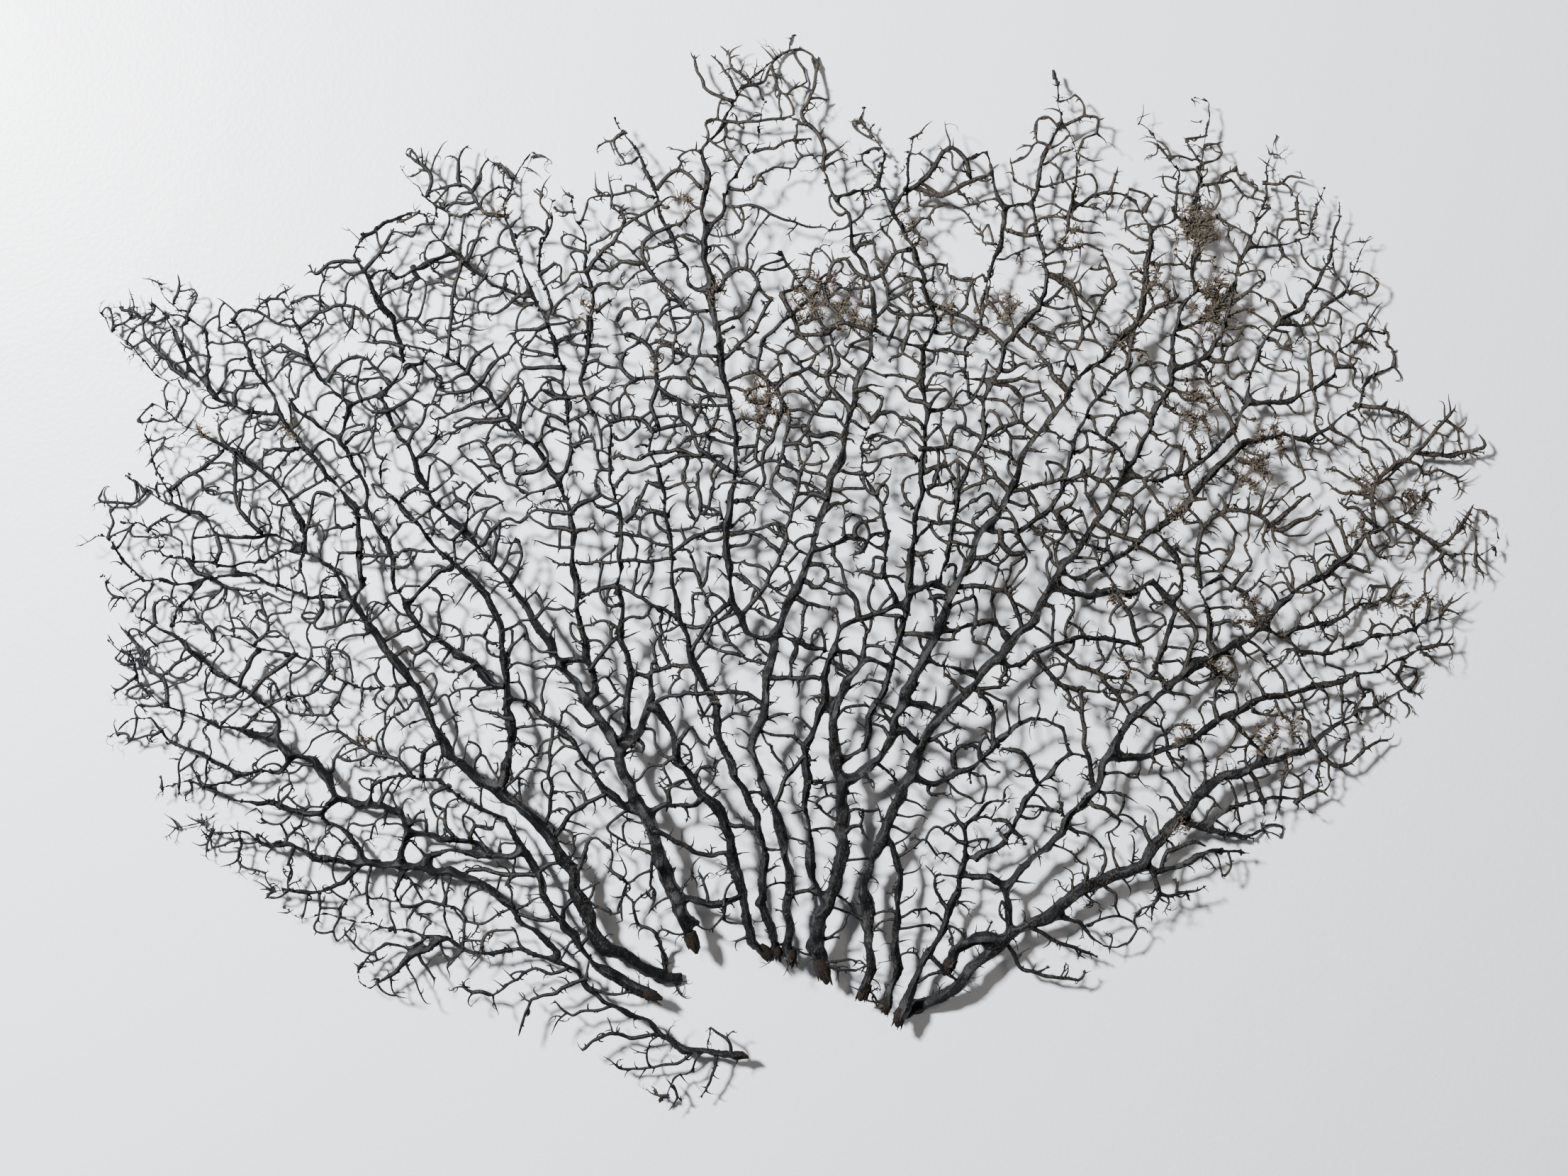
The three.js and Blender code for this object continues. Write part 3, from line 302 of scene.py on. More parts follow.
    (True, 1.5, 1.3, (-7, 114), (-5, 110), (-3, 105), (-1, 101), (2, 97), (6, 97), (12, 97),
     (15, 100), (19, 102), (24, 101), (30, 100)),
    (True, 1.3, 1.2, (-3, 105), (2, 110), (6, 113), (10, 118), (13, 122), (15, 128), (20, 129),
     (25, 124), (28, 121)),
    (True, 1.1, 0.9, (-7, 132), (-5, 128), (-1, 122), (2, 117), (5, 112), (8, 106), (10, 101),
     (13, 97), (15, 92), (18, 88), (21, 84)),
    (True, 1.2, 1.1, (12, 119), (12, 113), (15, 108), (19, 103)),
    (True, 1.2, 1.0, (12, 81), (14, 84), (13, 91), (9, 89), (4, 94), (1, 97)),
    (True, 1.3, 1.2, (-7, 75), (-4, 79), (3, 82), (8, 81), (12, 80), (17, 85), (15, 91)),
    (True, 1.8, 1.5, (21, 65), (20, 68), (16, 72), (13, 75), (12, 80)),
    (False, 0.8, 0.6, (3, 82), (-1, 88), (-7, 92)),
    (True, 1.1, 0.9, (13, 74), (10, 68), (6, 63), (5, 59), (5, 53), (6, 48), (4, 40)),
    (True, 1.8, 1.6, (20, 54), (14, 55), (8, 54), (5, 56)),
    (True, 1.1, 1.0, (-6, 58), (0, 58), (5, 59)),
    (True, 1.6, 1.2, (-35, 112), (-32, 117), (-31, 121), (-29, 123), (-23, 125), (-20, 124),
     (-17, 120), (-17, 116), (-20, 111), (-24, 105), (-29, 103), (-34, 101)),
    (True, 1.1, 1.0, (-17, 117), (-14, 113), (-10, 114)),
    (True, 1.1, 0.9, (-8, 115), (-2, 117), (1, 118), (4, 122), (9, 121)),
    (True, 1.3, 1.2, (48, 133), (41, 132), (38, 128), (36, 123), (33, 122)),
    (True, 1.1, 1.0, (38, 122), (38, 115), (38, 110), (37, 105)),
    (True, 1.0, 0.8, (55, 127), (58, 127), (63, 127), (64, 123), (69, 121), (73, 120), (75, 115),
     (76, 110), (77, 105)),
    (False, 0.8, 0.6, (55, 120), (57, 121), (58, 126), (58, 130)),
    (True, 1.1, 1.0, (59, 104), (62, 106), (67, 107), (70, 110), (73, 119)),
    (True, 1.5, 1.4, (59, 111), (62, 108), (67, 106), (71, 104), (76, 101), (80, 99), (84, 96),
     (87, 91)),
    (True, 1.4, 1.2, (79, 117), (80, 112), (83, 109), (85, 105)),
    (True, 1.0, 0.9, (77, 105), (80, 110), (85, 112), (87, 108), (90, 104), (90, 99)),
    (True, 1.3, 1.1, (106, 122), (111, 122), (115, 120), (118, 115), (122, 111), (125, 107)),
    (True, 1.3, 1.1, (134, 119), (130, 114), (127, 109), (125, 104), (122, 99)),
    (True, 1.0, 0.9, (104, 111), (108, 114), (112, 118), (116, 119)),
    (False, 1.3, 1.0, (53, 162), (56, 166), (58, 170), (61, 175)),
    (True, 1.2, 1.1, (62, 156), (58, 158), (53, 161), (50, 160), (46, 159)),
    (False, 0.8, 0.6, (85, 135), (78, 137), (78, 141), (74, 145), (71, 150), (63, 153)),
    (True, 1.4, 1.3, (87, 142), (91, 141), (97, 140), (101, 141)),
    (False, 0.8, 0.6, (82, 154), (75, 153), (70, 153)),
    (False, 0.8, 0.6, (100, 159), (94, 161), (91, 165), (90, 173)),
    (True, 0.9, 0.8, (101, 161), (107, 161), (115, 164)),
    (False, 0.8, 0.6, (82, 131), (87, 130), (93, 132)),
    (False, 0.8, 0.6, (79, 120), (82, 123), (84, 127)),
]

# Where the growing net is thinner or thicker than usual: x, y, half width, half height, twig spacing.
# Where two of these areas overlap, the later one counts.
ZONES = [
    (-150, 70, 110, 70, 3.7), (40, 70, 165, 90, 3.1), (190, 20, 115, 95, 3.2), (20, -60, 110, 60, 3.6),
    (-3, 148, 17, 18, 12), (68, 138, 14, 14, 12), (91, 120, 9, 10, 10), (105, -70, 16, 9, 9),
    (-48, -165, 18, 22, 14), (-20, -190, 34, 20, 14), (-110, -195, 60, 16, 10), (-60, 205, 30, 22, 12),
    (8, 106, 26, 17, 2.9), (170, 116, 18, 30, 3.0), (184, 48, 26, 20, 3.0), (228, -10, 50, 50, 3.0),
]

# The fan's outline. Twigs grow only towards places inside it, but spurs may stand out past it.
OUTLINE = [
    (-44, 217), (-2, 228), (13, 217), (11, 190), (20, 165), (23, 190), (29, 195), (44, 180), (62, 193),
    (69, 176), (81, 173), (92, 160), (95, 176), (110, 211), (128, 190), (131, 173), (147, 158),
    (146, 185), (160, 176), (169, 199), (179, 176), (187, 163), (200, 184), (207, 173), (210, 158),
    (223, 164), (228, 143), (246, 140), (244, 125), (253, 108), (257, 83), (260, 53), (276, 76),
    (294, 50), (286, 34), (299, 14), (293, -6), (280, -26), (280, -38), (260, -69), (226, -96),
    (210, -113), (167, -141), (140, -161), (122, -177), (90, -164), (44, -196), (21, -179), (7, -173),
    (-16, -165), (-46, -157), (-56, -156), (-50, -177), (-23, -209), (-37, -227), (-60, -229),
    (-90, -204), (-117, -199), (-139, -189), (-182, -181), (-192, -164), (-223, -147), (-225, -138),
    (-245, -131), (-271, -110), (-271, -89), (-259, -79), (-295, -75), (-288, -56), (-296, -33),
    (-292, -23), (-296, -6), (-288, 7), (-297, 14), (-300, 32), (-278, 38), (-281, 57), (-275, 72),
    (-259, 73), (-285, 96), (-298, 109), (-278, 125), (-258, 119), (-238, 108), (-217, 119),
    (-207, 127), (-188, 132), (-172, 149), (-158, 150), (-169, 176), (-142, 181), (-122, 171),
    (-108, 178), (-94, 152), (-85, 156), (-87, 168), (-78, 190), (-61, 168), (-44, 180), (-39, 196),
]

# Clumps of old growth, caught in the net: x, y, half width, half height, crumbs, fibres.
OLD_GROWTH = [
    (169, 143, 8, 11, 150, 90), (176, 110, 8, 13, 170, 100), (8, 111, 13, 12, 90, 70),
    (-15, 67, 10, 12, 80, 55), (168, 66, 8, 14, 90, 50), (193, 40, 8, 8, 70, 45), (24, 104, 8, 8, 30, 16),
    (-35, 116, 6, 7, 24, 10), (-49, 152, 4, 5, 16, 7), (-129, 150, 6, 5, 18, 8), (46, 143, 5, 6, 22, 8),
    (116, 137, 6, 8, 24, 10), (-251, 58, 3, 3, 12, 5), (-215, 57, 3, 5, 14, 5), (-183, -75, 4, 3, 10, 3),
    (190, -20, 9, 9, 50, 12), (206, -68, 9, 7, 44, 10), (201, 55, 8, 7, 36, 14), (241, 35, 8, 8, 34, 12),
    (263, 28, 7, 7, 26, 8), (263, -16, 7, 5, 24, 6), (238, 15, 7, 7, 28, 8), (177, -42, 8, 5, 34, 8),
    (163, -71, 6, 5, 24, 6), (161, -110, 7, 5, 28, 6), (196, -74, 6, 12, 46, 10), (134, -15, 4, 4, 16, 4),
    (138, -42, 5, 4, 16, 4), (161, 22, 6, 6, 26, 8), (90, 108, 12, 10, 34, 14), (60, 108, 10, 8, 22, 10),
    (137, 92, 8, 8, 28, 12), (-88, 108, 5, 8, 12, 5), (-60, 88, 5, 6, 12, 4), (150, 120, 8, 10, 34, 16),
]

# ---- shapes and sizes -----------------------------------------------------------------------------------
VOXEL = 0.75                   # size of the smallest detail on a stem
CLOSING = 0.45                 # crotches between stems are webbed about this far
SLIM_NEAR, SLIM_FAR = 0.15, 0.62  # stems are this much thinner than the frame's rods, near and far out
SLIM_START, SLIM_SPAN = 90, 170   # from this far from the base, and over this distance
BRIDGE_DEPTH = 2.0             # the bridge from a stem's end goes this deep into the next stem
STRIDE = 1.5                   # step of a growing twig
SIGHT = 24.0                   # a twig grows towards open space this far away
CLEARANCE = 1.9                # open space ends this close to a twig
TWIG_SPACING = 4.1             # usual distance between the aims of growing twigs
JOIN_SIGHT = 7.5               # a twig's end joins a neighbour this near
JOIN_SHARE = 0.52              # at most this share of ends do so
LOOSE = 0.5                    # and where the net is loose, this share of those
EDGE_FREE = 0.75               # this share of the ends that no stems enclose stay free
OWN_REFUSED = 0.8              # this share of ends don't join a twig of their own root
ROOT_CLEAR = 9.0               # a twig joins nothing this near its own root
AHEAD = 0.35                   # cosine: it joins only what lies ahead of it
AHEAD_WORTH = 2.5              # something straight ahead may be this much further off
STEM_SPURS, TWIG_SPURS = 0.07, 0.2  # share of the places on stems and on twigs that carry a spur
ROOT_SPACING = 4.8             # grown twigs leave the stems at least this far apart
TORN_FIBRES = 11               # about each broken foot
END_REACH = 5.0                # a twig's end is drawn to what stands this near
TOUCHING = 1.6                 # a free end this near a stem grows onto it
MEETING = 0.3                  # two twigs this near have met
MAX_DEPTH = 1.5                # a twig's end goes no deeper than this into a stem
THICKEST = 1.45                # radius of the widest flare
TIP_RADIUS = 0.37              # a free twig, short of its pointed end
JOINED_RADIUS = 0.47           # a twig's end where it joins a neighbour
MIDDLE_GIRTH = 0.46            # twigs in the middle of the fan are this share thicker
TWIG_RADIUS = 1.1              # thickest of the grown twigs
HAND_GIRTH = 0.72              # the placed twigs' radii are scaled by this
BRANCHING = 2.1                # how fast a grown twig thickens with the twigs it carries
SAME_PLANE = 0.03              # radians: faces that bend less than this are one flat end
SHARP_RIM = 0.9                # radians: the rim of a flat end bends at least this much
SURFACE_STEP = 2.4             # one point is kept on the stems' sides in each cube this wide
ROOT_DEPTH = 0.8               # a grown twig starts this deep in its stem
SEAT_DEPTH = 0.6               # and a placed or joined one ends this deep
AIM_STEP = 2.1                 # step of the grid that the aims are taken from
STEM_MARGIN, TWIG_MARGIN = 2.6, 2.1  # aims stay this clear of stems and of placed twigs
WIDEST_SPACING = 14            # no zone's twig spacing is wider
ROUNDS = 90                    # a net stops growing after this many steps
STEADINESS, OUTWARD, SWAY, WANDER = 0.7, 0.45, 0.3, 0.9  # what a step follows besides its aims
BEND_LENGTH = 6                # length of a twig's slow bends
ROUND_ABOUT = 42               # only stems this near can enclose a place
ROOT_FLARE, ROOT_GAIN = 3.2, 0.55  # a twig's root is wider over this length, by this share
END_FLARE, END_GAIN = 3.0, 0.4     # and so is its end where it is joined
FREE_END = (0.35, 0.55, 0.72, 0.88)  # widths of a free end's last points, as shares
SLIM_TWIG = 0.62               # a twig that stays thinner than this is brown

BASE = Vector((0, -205))       # the fan grows away from here


def to_linear(hex_colour):
    """A colour written as in a paint list, turned into the numbers a shader takes."""
    parts = [int(hex_colour[i:i + 2], 16) / 255 for i in (1, 3, 5)]
    return [p / 12.92 if p <= 0.04045 else ((p + 0.055) / 1.055) ** 2.4 for p in parts] + [1.0]


# ---- materials ------------------------------------------------------------------------------------------
def node(tree, kind, inputs=(), stops=(), **settings):
    """Adds one shader node, sets its values and colour stops, and plugs in its inputs."""
    made = tree.nodes.new(kind)
    for key, value in settings.items():
        setattr(made, key, value)
    for key, value in dict(inputs).items():
        if isinstance(value, bpy.types.NodeSocket):
            tree.links.new(value, made.inputs[key])
        else:
            made.inputs[key].default_value = value
    for number, (where, colour) in enumerate(stops):
        made.color_ramp.elements[number].position = where
        made.color_ramp.elements[number].color = to_linear(colour)
    return made


def noise(tree, place, scale, detail=3.0, stretch=(1, 1, 1), roughness=0.55):
    """A cloudy pattern with this many features to the metre. A stretch below 1 draws it out."""
    moved = node(tree, "ShaderNodeMapping", {"Vector": place, "Scale": stretch})
    return node(tree, "ShaderNodeTexNoise", {
        "Vector": moved.outputs[0], "Scale": scale, "Detail": detail, "Roughness": roughness}).outputs["Fac"]


def new_material(name):
    """A material, with its node tree and its shader."""
    material = bpy.data.materials.new(name)
    material.use_nodes = True
    return material, material.node_tree, material.node_tree.nodes["Principled BSDF"]


def skeleton_material(name, dark, light, dust, dust_share, roughness, grain):
    """Black horny skeleton: fine grain, worn grey patches, and specks of dust on its upper side."""
    material, tree, shader = new_material(name)
    shader.inputs["Specular IOR Level"].default_value = 0.16
    place = node(tree, "ShaderNodeTexCoord").outputs["Object"]
    patches = noise(tree, place, 330, 4)  # worn patches about 3 mm wide
    # A grain about 0.5 mm wide and 1.2 mm long. The real one's size isn't known.
    fine = noise(tree, place, 1900, 3, stretch=(1, 0.45, 1), roughness=0.6)
    body = node(tree, "ShaderNodeValToRGB", {"Fac": patches}, [(0.38, dark), (0.66, light)]).outputs[0]
    # Dust settles on top, and lies thickest over the right and upper part of the fan.
    facing = node(tree, "ShaderNodeNewGeometry").outputs["Normal"]
    facing = node(tree, "ShaderNodeSeparateXYZ", {"Vector": facing})
    where = node(tree, "ShaderNodeSeparateXYZ", {"Vector": place})
    lean = node(tree, "ShaderNodeMath", {0: where.outputs["X"], 1: where.outputs["Y"]}, operation="ADD")
    side = node(tree, "ShaderNodeMapRange", {
        "Value": lean.outputs[0], "From Min": -0.06, "From Max": 0.28, "To Min": 0.0, "To Max": 0.26})
    upward = node(tree, "ShaderNodeMapRange", {
        "Value": facing.outputs["Z"], "From Min": -0.3, "From Max": 1.0, "To Min": -0.1, "To Max": 0.08})
    spread = noise(tree, place, 100, 5, roughness=0.65)  # dust lies in drifts about 10 mm wide
    cover = node(tree, "ShaderNodeMath", {0: side.outputs[0], 1: upward.outputs[0]}, operation="ADD")
    cover = node(tree, "ShaderNodeMath", {0: cover.outputs[0], 1: spread}, operation="ADD")
    cover = node(tree, "ShaderNodeMapRange", {
        "Value": cover.outputs[0], "From Min": 0.45, "From Max": 0.95, "To Max": dust_share})
    speck = node(tree, "ShaderNodeMath", {0: cover.outputs[0], 1: fine}, operation="ADD")
    speck = node(tree, "ShaderNodeMapRange", {"Value": speck.outputs[0], "From Min": 0.58, "From Max": 1.0})
    dusty = node(tree, "ShaderNodeMix", {
        0: speck.outputs[0], "A": body, "B": to_linear(dust)}, data_type="RGBA")
    tree.links.new(dusty.outputs["Result"], shader.inputs["Base Color"])
    shine = node(tree, "ShaderNodeMapRange", {
        "Value": speck.outputs[0], "To Min": roughness, "To Max": 0.9})
    tree.links.new(shine.outputs[0], shader.inputs["Roughness"])
    bump = node(tree, "ShaderNodeBump", {"Height": fine, "Strength": grain, "Distance": 0.0004})
    tree.links.new(bump.outputs[0], shader.inputs["Normal"])
    return material


def dry_matter(name, dark, light, grain_size):
    """Dull dry matter, with no shine, mottled at this grain size in millimetres."""
    material, tree, shader = new_material(name)
    shader.inputs["Roughness"].default_value = 0.92
    shader.inputs["Specular IOR Level"].default_value = 0.15
    place = node(tree, "ShaderNodeTexCoord").outputs["Object"]
    mottle = noise(tree, place, 1 / (grain_size * MM), 4, roughness=0.65)
    body = node(tree, "ShaderNodeValToRGB", {"Fac": mottle}, [(0.32, dark), (0.68, light)])
    tree.links.new(body.outputs[0], shader.inputs["Base Color"])
    bump = node(tree, "ShaderNodeBump", {"Height": mottle, "Strength": 0.5, "Distance": 0.0005})
    tree.links.new(bump.outputs[0], shader.inputs["Normal"])
    return material


# ---- stems ----------------------------------------------------------------------------------------------
def add_object(name, data):
    """Puts a mesh, a curve, a light or a camera into the scene."""
    made = bpy.data.objects.new(name, data)
    bpy.context.scene.collection.objects.link(made)
    return made


def vertex_values(mesh, kind):
    """Three numbers for each vertex: its place ("co") or its normal ("normal")."""
    values = np.empty(len(mesh.vertices) * 3)
    mesh.vertices.foreach_get(kind, values)
    return values.reshape(-1, 3)


def keep_piece(mesh, name):
    """Makes a mesh into a named piece of the fan, with nothing below the surface that it lies on."""
    places = vertex_values(mesh, "co")
    places[:, 2] = np.maximum(places[:, 2], 0)
    mesh.vertices.foreach_set("co", places.ravel())
    piece = add_object(name, mesh)
    mesh.shade_smooth()
    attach(piece, "root")
    return piece


def end_caps(bm):
    """The flat ends of a stem's rods, as (centre, outward normal, radius).

    Sets of mesh elements are sorted before they are read, so that every run gives the same result.
    """
    bm.verts.index_update()
    bm.faces.index_update()
    caps, done = [], set()
    for face in bm.faces:
        if face in done:
            continue
        flat, todo = {face}, [face]
        while todo:
            for edge in todo.pop().edges:
                for other in edge.link_faces:
                    if other not in flat and edge.calc_face_angle(0) < SAME_PLANE:
                        flat.add(other)
                        todo.append(other)
        done |= flat
        rim = [edge for one in sorted(flat, key=lambda face: face.index) for edge in one.edges
               if any(other not in flat for other in edge.link_faces)]
        corners = sorted({vert for edge in rim for vert in edge.verts}, key=lambda vert: vert.index)
        centre = sum((vert.co for vert in corners), Vector()) / len(corners)
        spans = [(vert.co - centre).length for vert in corners]
        if 3 < len(corners) < 8 and max(spans) < 1.5 * min(spans) and max(spans) < 5 * MM:
            if all(edge.calc_face_angle(0) > SHARP_RIM for edge in rim):
                caps.append((centre, face.normal.copy(), sum(spans) / len(spans)))
    return caps


def add_cone(bm, start, end, radius_start, radius_end):
    """Adds a closed cone that runs from start to end."""
    span = end - start
    turn = span.to_track_quat("Z", "Y").to_matrix().to_4x4()
    middle = Matrix.Translation((start + end) / 2)
    bmesh.ops.create_cone(bm, cap_ends=True, segments=8, radius1=radius_start, radius2=radius_end,
                          depth=span.length, matrix=middle @ turn)


def clean_copy(name):
    """A stem of the frame with its loose triangles joined up."""
    bm = bmesh.new()
    bm.from_mesh(frame["nodes"][name].data)
    bmesh.ops.remove_doubles(bm, verts=bm.verts, dist=0.02 * MM)
    bm.normal_update()
    return bm


def applied(piece):
    """The mesh that an object's modifiers give."""
    ready = piece.evaluated_get(bpy.context.evaluated_depsgraph_get())
    mesh = bpy.data.meshes.new_from_object(ready)
    bpy.data.objects.remove(piece)
    return mesh


def cloud_texture(name, size, depth):
    """A cloudy pattern that moves a surface, with features of this size in millimetres."""
    texture = bpy.data.textures.new(name, "CLOUDS")
    texture.noise_scale = size * MM
    texture.noise_depth = depth
    return texture


KNOBS = cloud_texture("knobs", 4.5, 1)
PITS = cloud_texture("pits", 1.6, 1)
BENDS = cloud_texture("bends", 13.0, 1)
BENDS.cloud_type = "COLOR"


def slim_down(mesh):
    """Thins a stem's surface, the more the further it is from the base."""
    places, facing = vertex_values(mesh, "co"), vertex_values(mesh, "normal")
    out = np.hypot(places[:, 0] / MM - BASE.x, places[:, 1] / MM - BASE.y)
    share = np.clip((out - SLIM_START) / SLIM_SPAN, 0, 1)
    places -= facing * ((SLIM_NEAR + (SLIM_FAR - SLIM_NEAR) * share) * MM)[:, None]
    mesh.vertices.foreach_set("co", places.ravel())


def is_broken_end(centre, normal):
    """Whether a stem's end is one of the broken feet of the fan, which stand free."""
    return centre.y < -0.155 and normal.y < 0.2 and centre.x > -0.07


def grow_stems(name, nodes, trees, material):
    """One smooth piece from several stems, joined where they meet and with webbed crotches."""
    bm = bmesh.new()
    for one in nodes:
        copy = clean_copy(one)
        caps = end_caps(copy)
        mesh = bpy.data.meshes.new("copy")
        copy.to_mesh(mesh)
        bm.from_mesh(mesh)
        bpy.data.meshes.remove(mesh)
        for centre, normal, radius in caps:
            if is_broken_end(centre, normal):
                broken_ends.append((centre, normal, radius))
                continue
            near = [(tree.find_nearest(centre, radius + 1.3 * MM), other)
                    for other, tree in trees.items() if other != one]
            near = [hit for hit, _ in near if hit[0] is not None]
            if near:
                spot = min(near, key=lambda hit: hit[3])[0]
                inside = spot + (spot - centre).normalized() * BRIDGE_DEPTH * MM
                add_cone(bm, centre - normal * 1.2 * MM, inside, radius, radius * 1.15)
    mesh = bpy.data.meshes.new(name)
    mesh.materials.append(material)
    bm.normal_update()
    bm.to_mesh(mesh)
    piece = add_object(name, mesh)

    def displace(strength, texture=None, level=0.0, direction="NORMAL"):
        layer = piece.modifiers.new("displace", "DISPLACE")
        layer.strength, layer.mid_level, layer.direction = strength * MM, level, direction
        if texture:
            layer.texture, layer.texture_coords = texture, "LOCAL"

    displace(CLOSING)
    remesh = piece.modifiers.new("remesh", "REMESH")
    remesh.mode, remesh.voxel_size = "VOXEL", VOXEL * MM
    smooth = piece.modifiers.new("smooth", "SMOOTH")
    smooth.factor, smooth.iterations = 0.5, 5
    displace(-CLOSING)
    displace(0.6, KNOBS, 0.5)
    displace(0.3, PITS, 0.5)
    displace(5.0, BENDS, 0.5, "RGB_TO_XYZ")
    mesh = applied(piece)
    slim_down(mesh)
    made = keep_piece(mesh, name)
    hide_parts(*nodes)
    return made


# ---- the net of twigs -----------------------------------------------------------------------------------
def tree_of(places, flat=False):
    """A tree to search places in, in space or as seen from above."""
    tree = kdtree.KDTree(len(places))
    for k, spot in enumerate(places):
        tree.insert((spot[0], spot[1], 0) if flat else spot, k)
    tree.balance()
    return tree


def scatter(*spreads):
    """A random step, with its own spread along each axis."""
    return Vector([chance.gauss(0, spread) for spread in spreads])


class Net:
    """Twigs as a growing tree of points. parent is -1 at a root, which lies inside a stem."""

    def __init__(self, surface, normals):
        self.surface, self.normals = surface, normals
        self.flat_tree = tree_of(surface, flat=True)
        self.points, self.parent, self.weight, self.joins = [], [], [], {}

    def height(self, x, y):
        """The height of the fan here, from the stems round about."""
        near = self.flat_tree.find_n((x, y, 0), 8)
        parts = [(1 / (span + 1.5) ** 2, self.surface[k][2]) for _, k, span in near]
        return sum(share * z for share, z in parts) / sum(share for share, _ in parts)

    def add(self, point, parent, weight=None):
        self.points.append(Vector(point))
        self.parent.append(parent)
        self.weight.append(weight)
        return len(self.points) - 1

    def forks(self):
        """The points that grow from each point. Those of -1 are the roots."""
        forks = {}
        for k, parent in enumerate(self.parent):
            forks.setdefault(parent, []).append(k)
        return forks

    def sockets(self):
        """Surface points, well apart, where twigs may leave the stems."""
        order = list(range(len(self.surface)))
        chance.shuffle(order)
        kept, cells = [], {}
        for k in order:
            x, y, _ = self.surface[k]
            square = (int(x // ROOT_SPACING), int(y // ROOT_SPACING))
            around = [spot for i in (-1, 0, 1) for j in (-1, 0, 1)
                      for spot in cells.get((square[0] + i, square[1] + j), [])]
            if all((x - a) ** 2 + (y - b) ** 2 > ROOT_SPACING ** 2 for a, b in around):
                cells.setdefault(square, []).append((x, y))
                kept.append(k)
        return kept

    def plant(self, k):
        """Starts a twig inside the stem, under its surface point k."""
        spot, normal = Vector(self.surface[k]), Vector(self.normals[k])
        return self.add(spot - normal * ROOT_DEPTH, -1)


def curve_point(back, a, b, on, share):
    """A point on the smooth curve from a to b that comes from back and goes on to the last point."""
    return ((2 * a) + (b - back) * share + (2 * back - 5 * a + 4 * b - on) * share ** 2
            + (3 * a - back - 3 * b + on) * share ** 3) / 2


def place_by_hand(net):
    """Puts in the twigs of the list, their ends drawn onto the stems they belong to."""
    for tied, first, last, *route in TWIGS:
        spots = [Vector((x, y, net.height(x, y) + chance.uniform(-0.8, 0.8))) for x, y in route]
        for end in [0, -1] if tied else [0]:
            _, k, span = net.flat_tree.find((spots[end].x, spots[end].y, 0))
            twig = min(net.points, key=lambda p: (p.xy - spots[end].xy).length_squared, default=None)
            if twig and (twig.xy - spots[end].xy).length < min(4, span):
                spots[end] = twig.copy()
            elif span < 7:
                spots[end] = Vector(net.surface[k]) - Vector(net.normals[k]) * SEAT_DEPTH
        length = sum((b - a).length for a, b in zip(spots, spots[1:]))
        first, last = first * HAND_GIRTH, last * HAND_GIRTH
        walked, at = 0.0, net.add(spots[0], -1, first)
        before = [spots[0]] + spots[:-2] if len(spots) > 2 else [spots[0]]
        for a, b, back, on in zip(spots, spots[1:], before, spots[2:] + [spots[-1]]):
            count = max(1, round((b - a).length / STRIDE))
            for k in range(1, count + 1):
                share = k / count
                done = (walked + (b - a).length * share) / length
                point = curve_point(back, a, b, on, share)
                wave = ripple.noise_vector(point / BEND_LENGTH) * 1.6 * math.sin(math.pi * min(1, done))
                at = net.add(point + Vector((wave.x, wave.y, 0)), at, first + (last - first) * done)
            walked += (b - a).length


def enclosed(net, x, y):
    """Whether stems lie most of the way round this place."""
    seen = set()
    for spot, _, _ in net.flat_tree.find_range((x, y, 0), ROUND_ABOUT):
        seen.add(int(4 * math.atan2(spot.y - y, spot.x - x) / math.pi + 4) % 8)
    return len(seen) > 5


def inside_outline(x, y):
    """Whether a place is inside the fan's outline."""
    inside = False
    for (x1, y1), (x2, y2) in zip(OUTLINE, OUTLINE[1:] + OUTLINE[:1]):
        if (y1 > y) != (y2 > y) and x < x1 + (x2 - x1) * (y - y1) / (y2 - y1):
            inside = not inside
    return inside


def open_space(net):
    """Aims for the growing twigs: points spread over the open places of the fan."""
    tree = tree_of(net.points, flat=True)
    (left, low, _), (right, high, _) = [[v / MM for v in corner] for corner in cad_box]
    aims, cell, taken = [], AIM_STEP, {}
    spots = [(left - 3 + i * cell, low - 2 + j * cell)
             for i in range(int((right - left + 6) / cell) + 1)
             for j in range(int((high - low + 4) / cell) + 1)]
    chance.shuffle(spots)
    for x, y in spots:
        x, y = x + chance.uniform(-cell, cell) / 2, y + chance.uniform(-cell, cell) / 2
        if not inside_outline(x, y):
            continue
        spacing = TWIG_SPACING
        for zone_x, zone_y, wide, tall, gap in ZONES:
            if ((x - zone_x) / wide) ** 2 + ((y - zone_y) / tall) ** 2 < 1:
                spacing = gap
        if net.flat_tree.find((x, y, 0))[2] < STEM_MARGIN or tree.find((x, y, 0))[2] < TWIG_MARGIN:
            continue
        square = (int(x // WIDEST_SPACING), int(y // WIDEST_SPACING))
        around = [spot for i in (-1, 0, 1) for j in (-1, 0, 1)
                  for spot in taken.get((square[0] + i, square[1] + j), [])]
        if all((x - a) ** 2 + (y - b) ** 2 > spacing ** 2 for a, b in around):
            taken.setdefault(square, []).append((x, y))
            aims.append(Vector((x, y, 0)))
    return aims


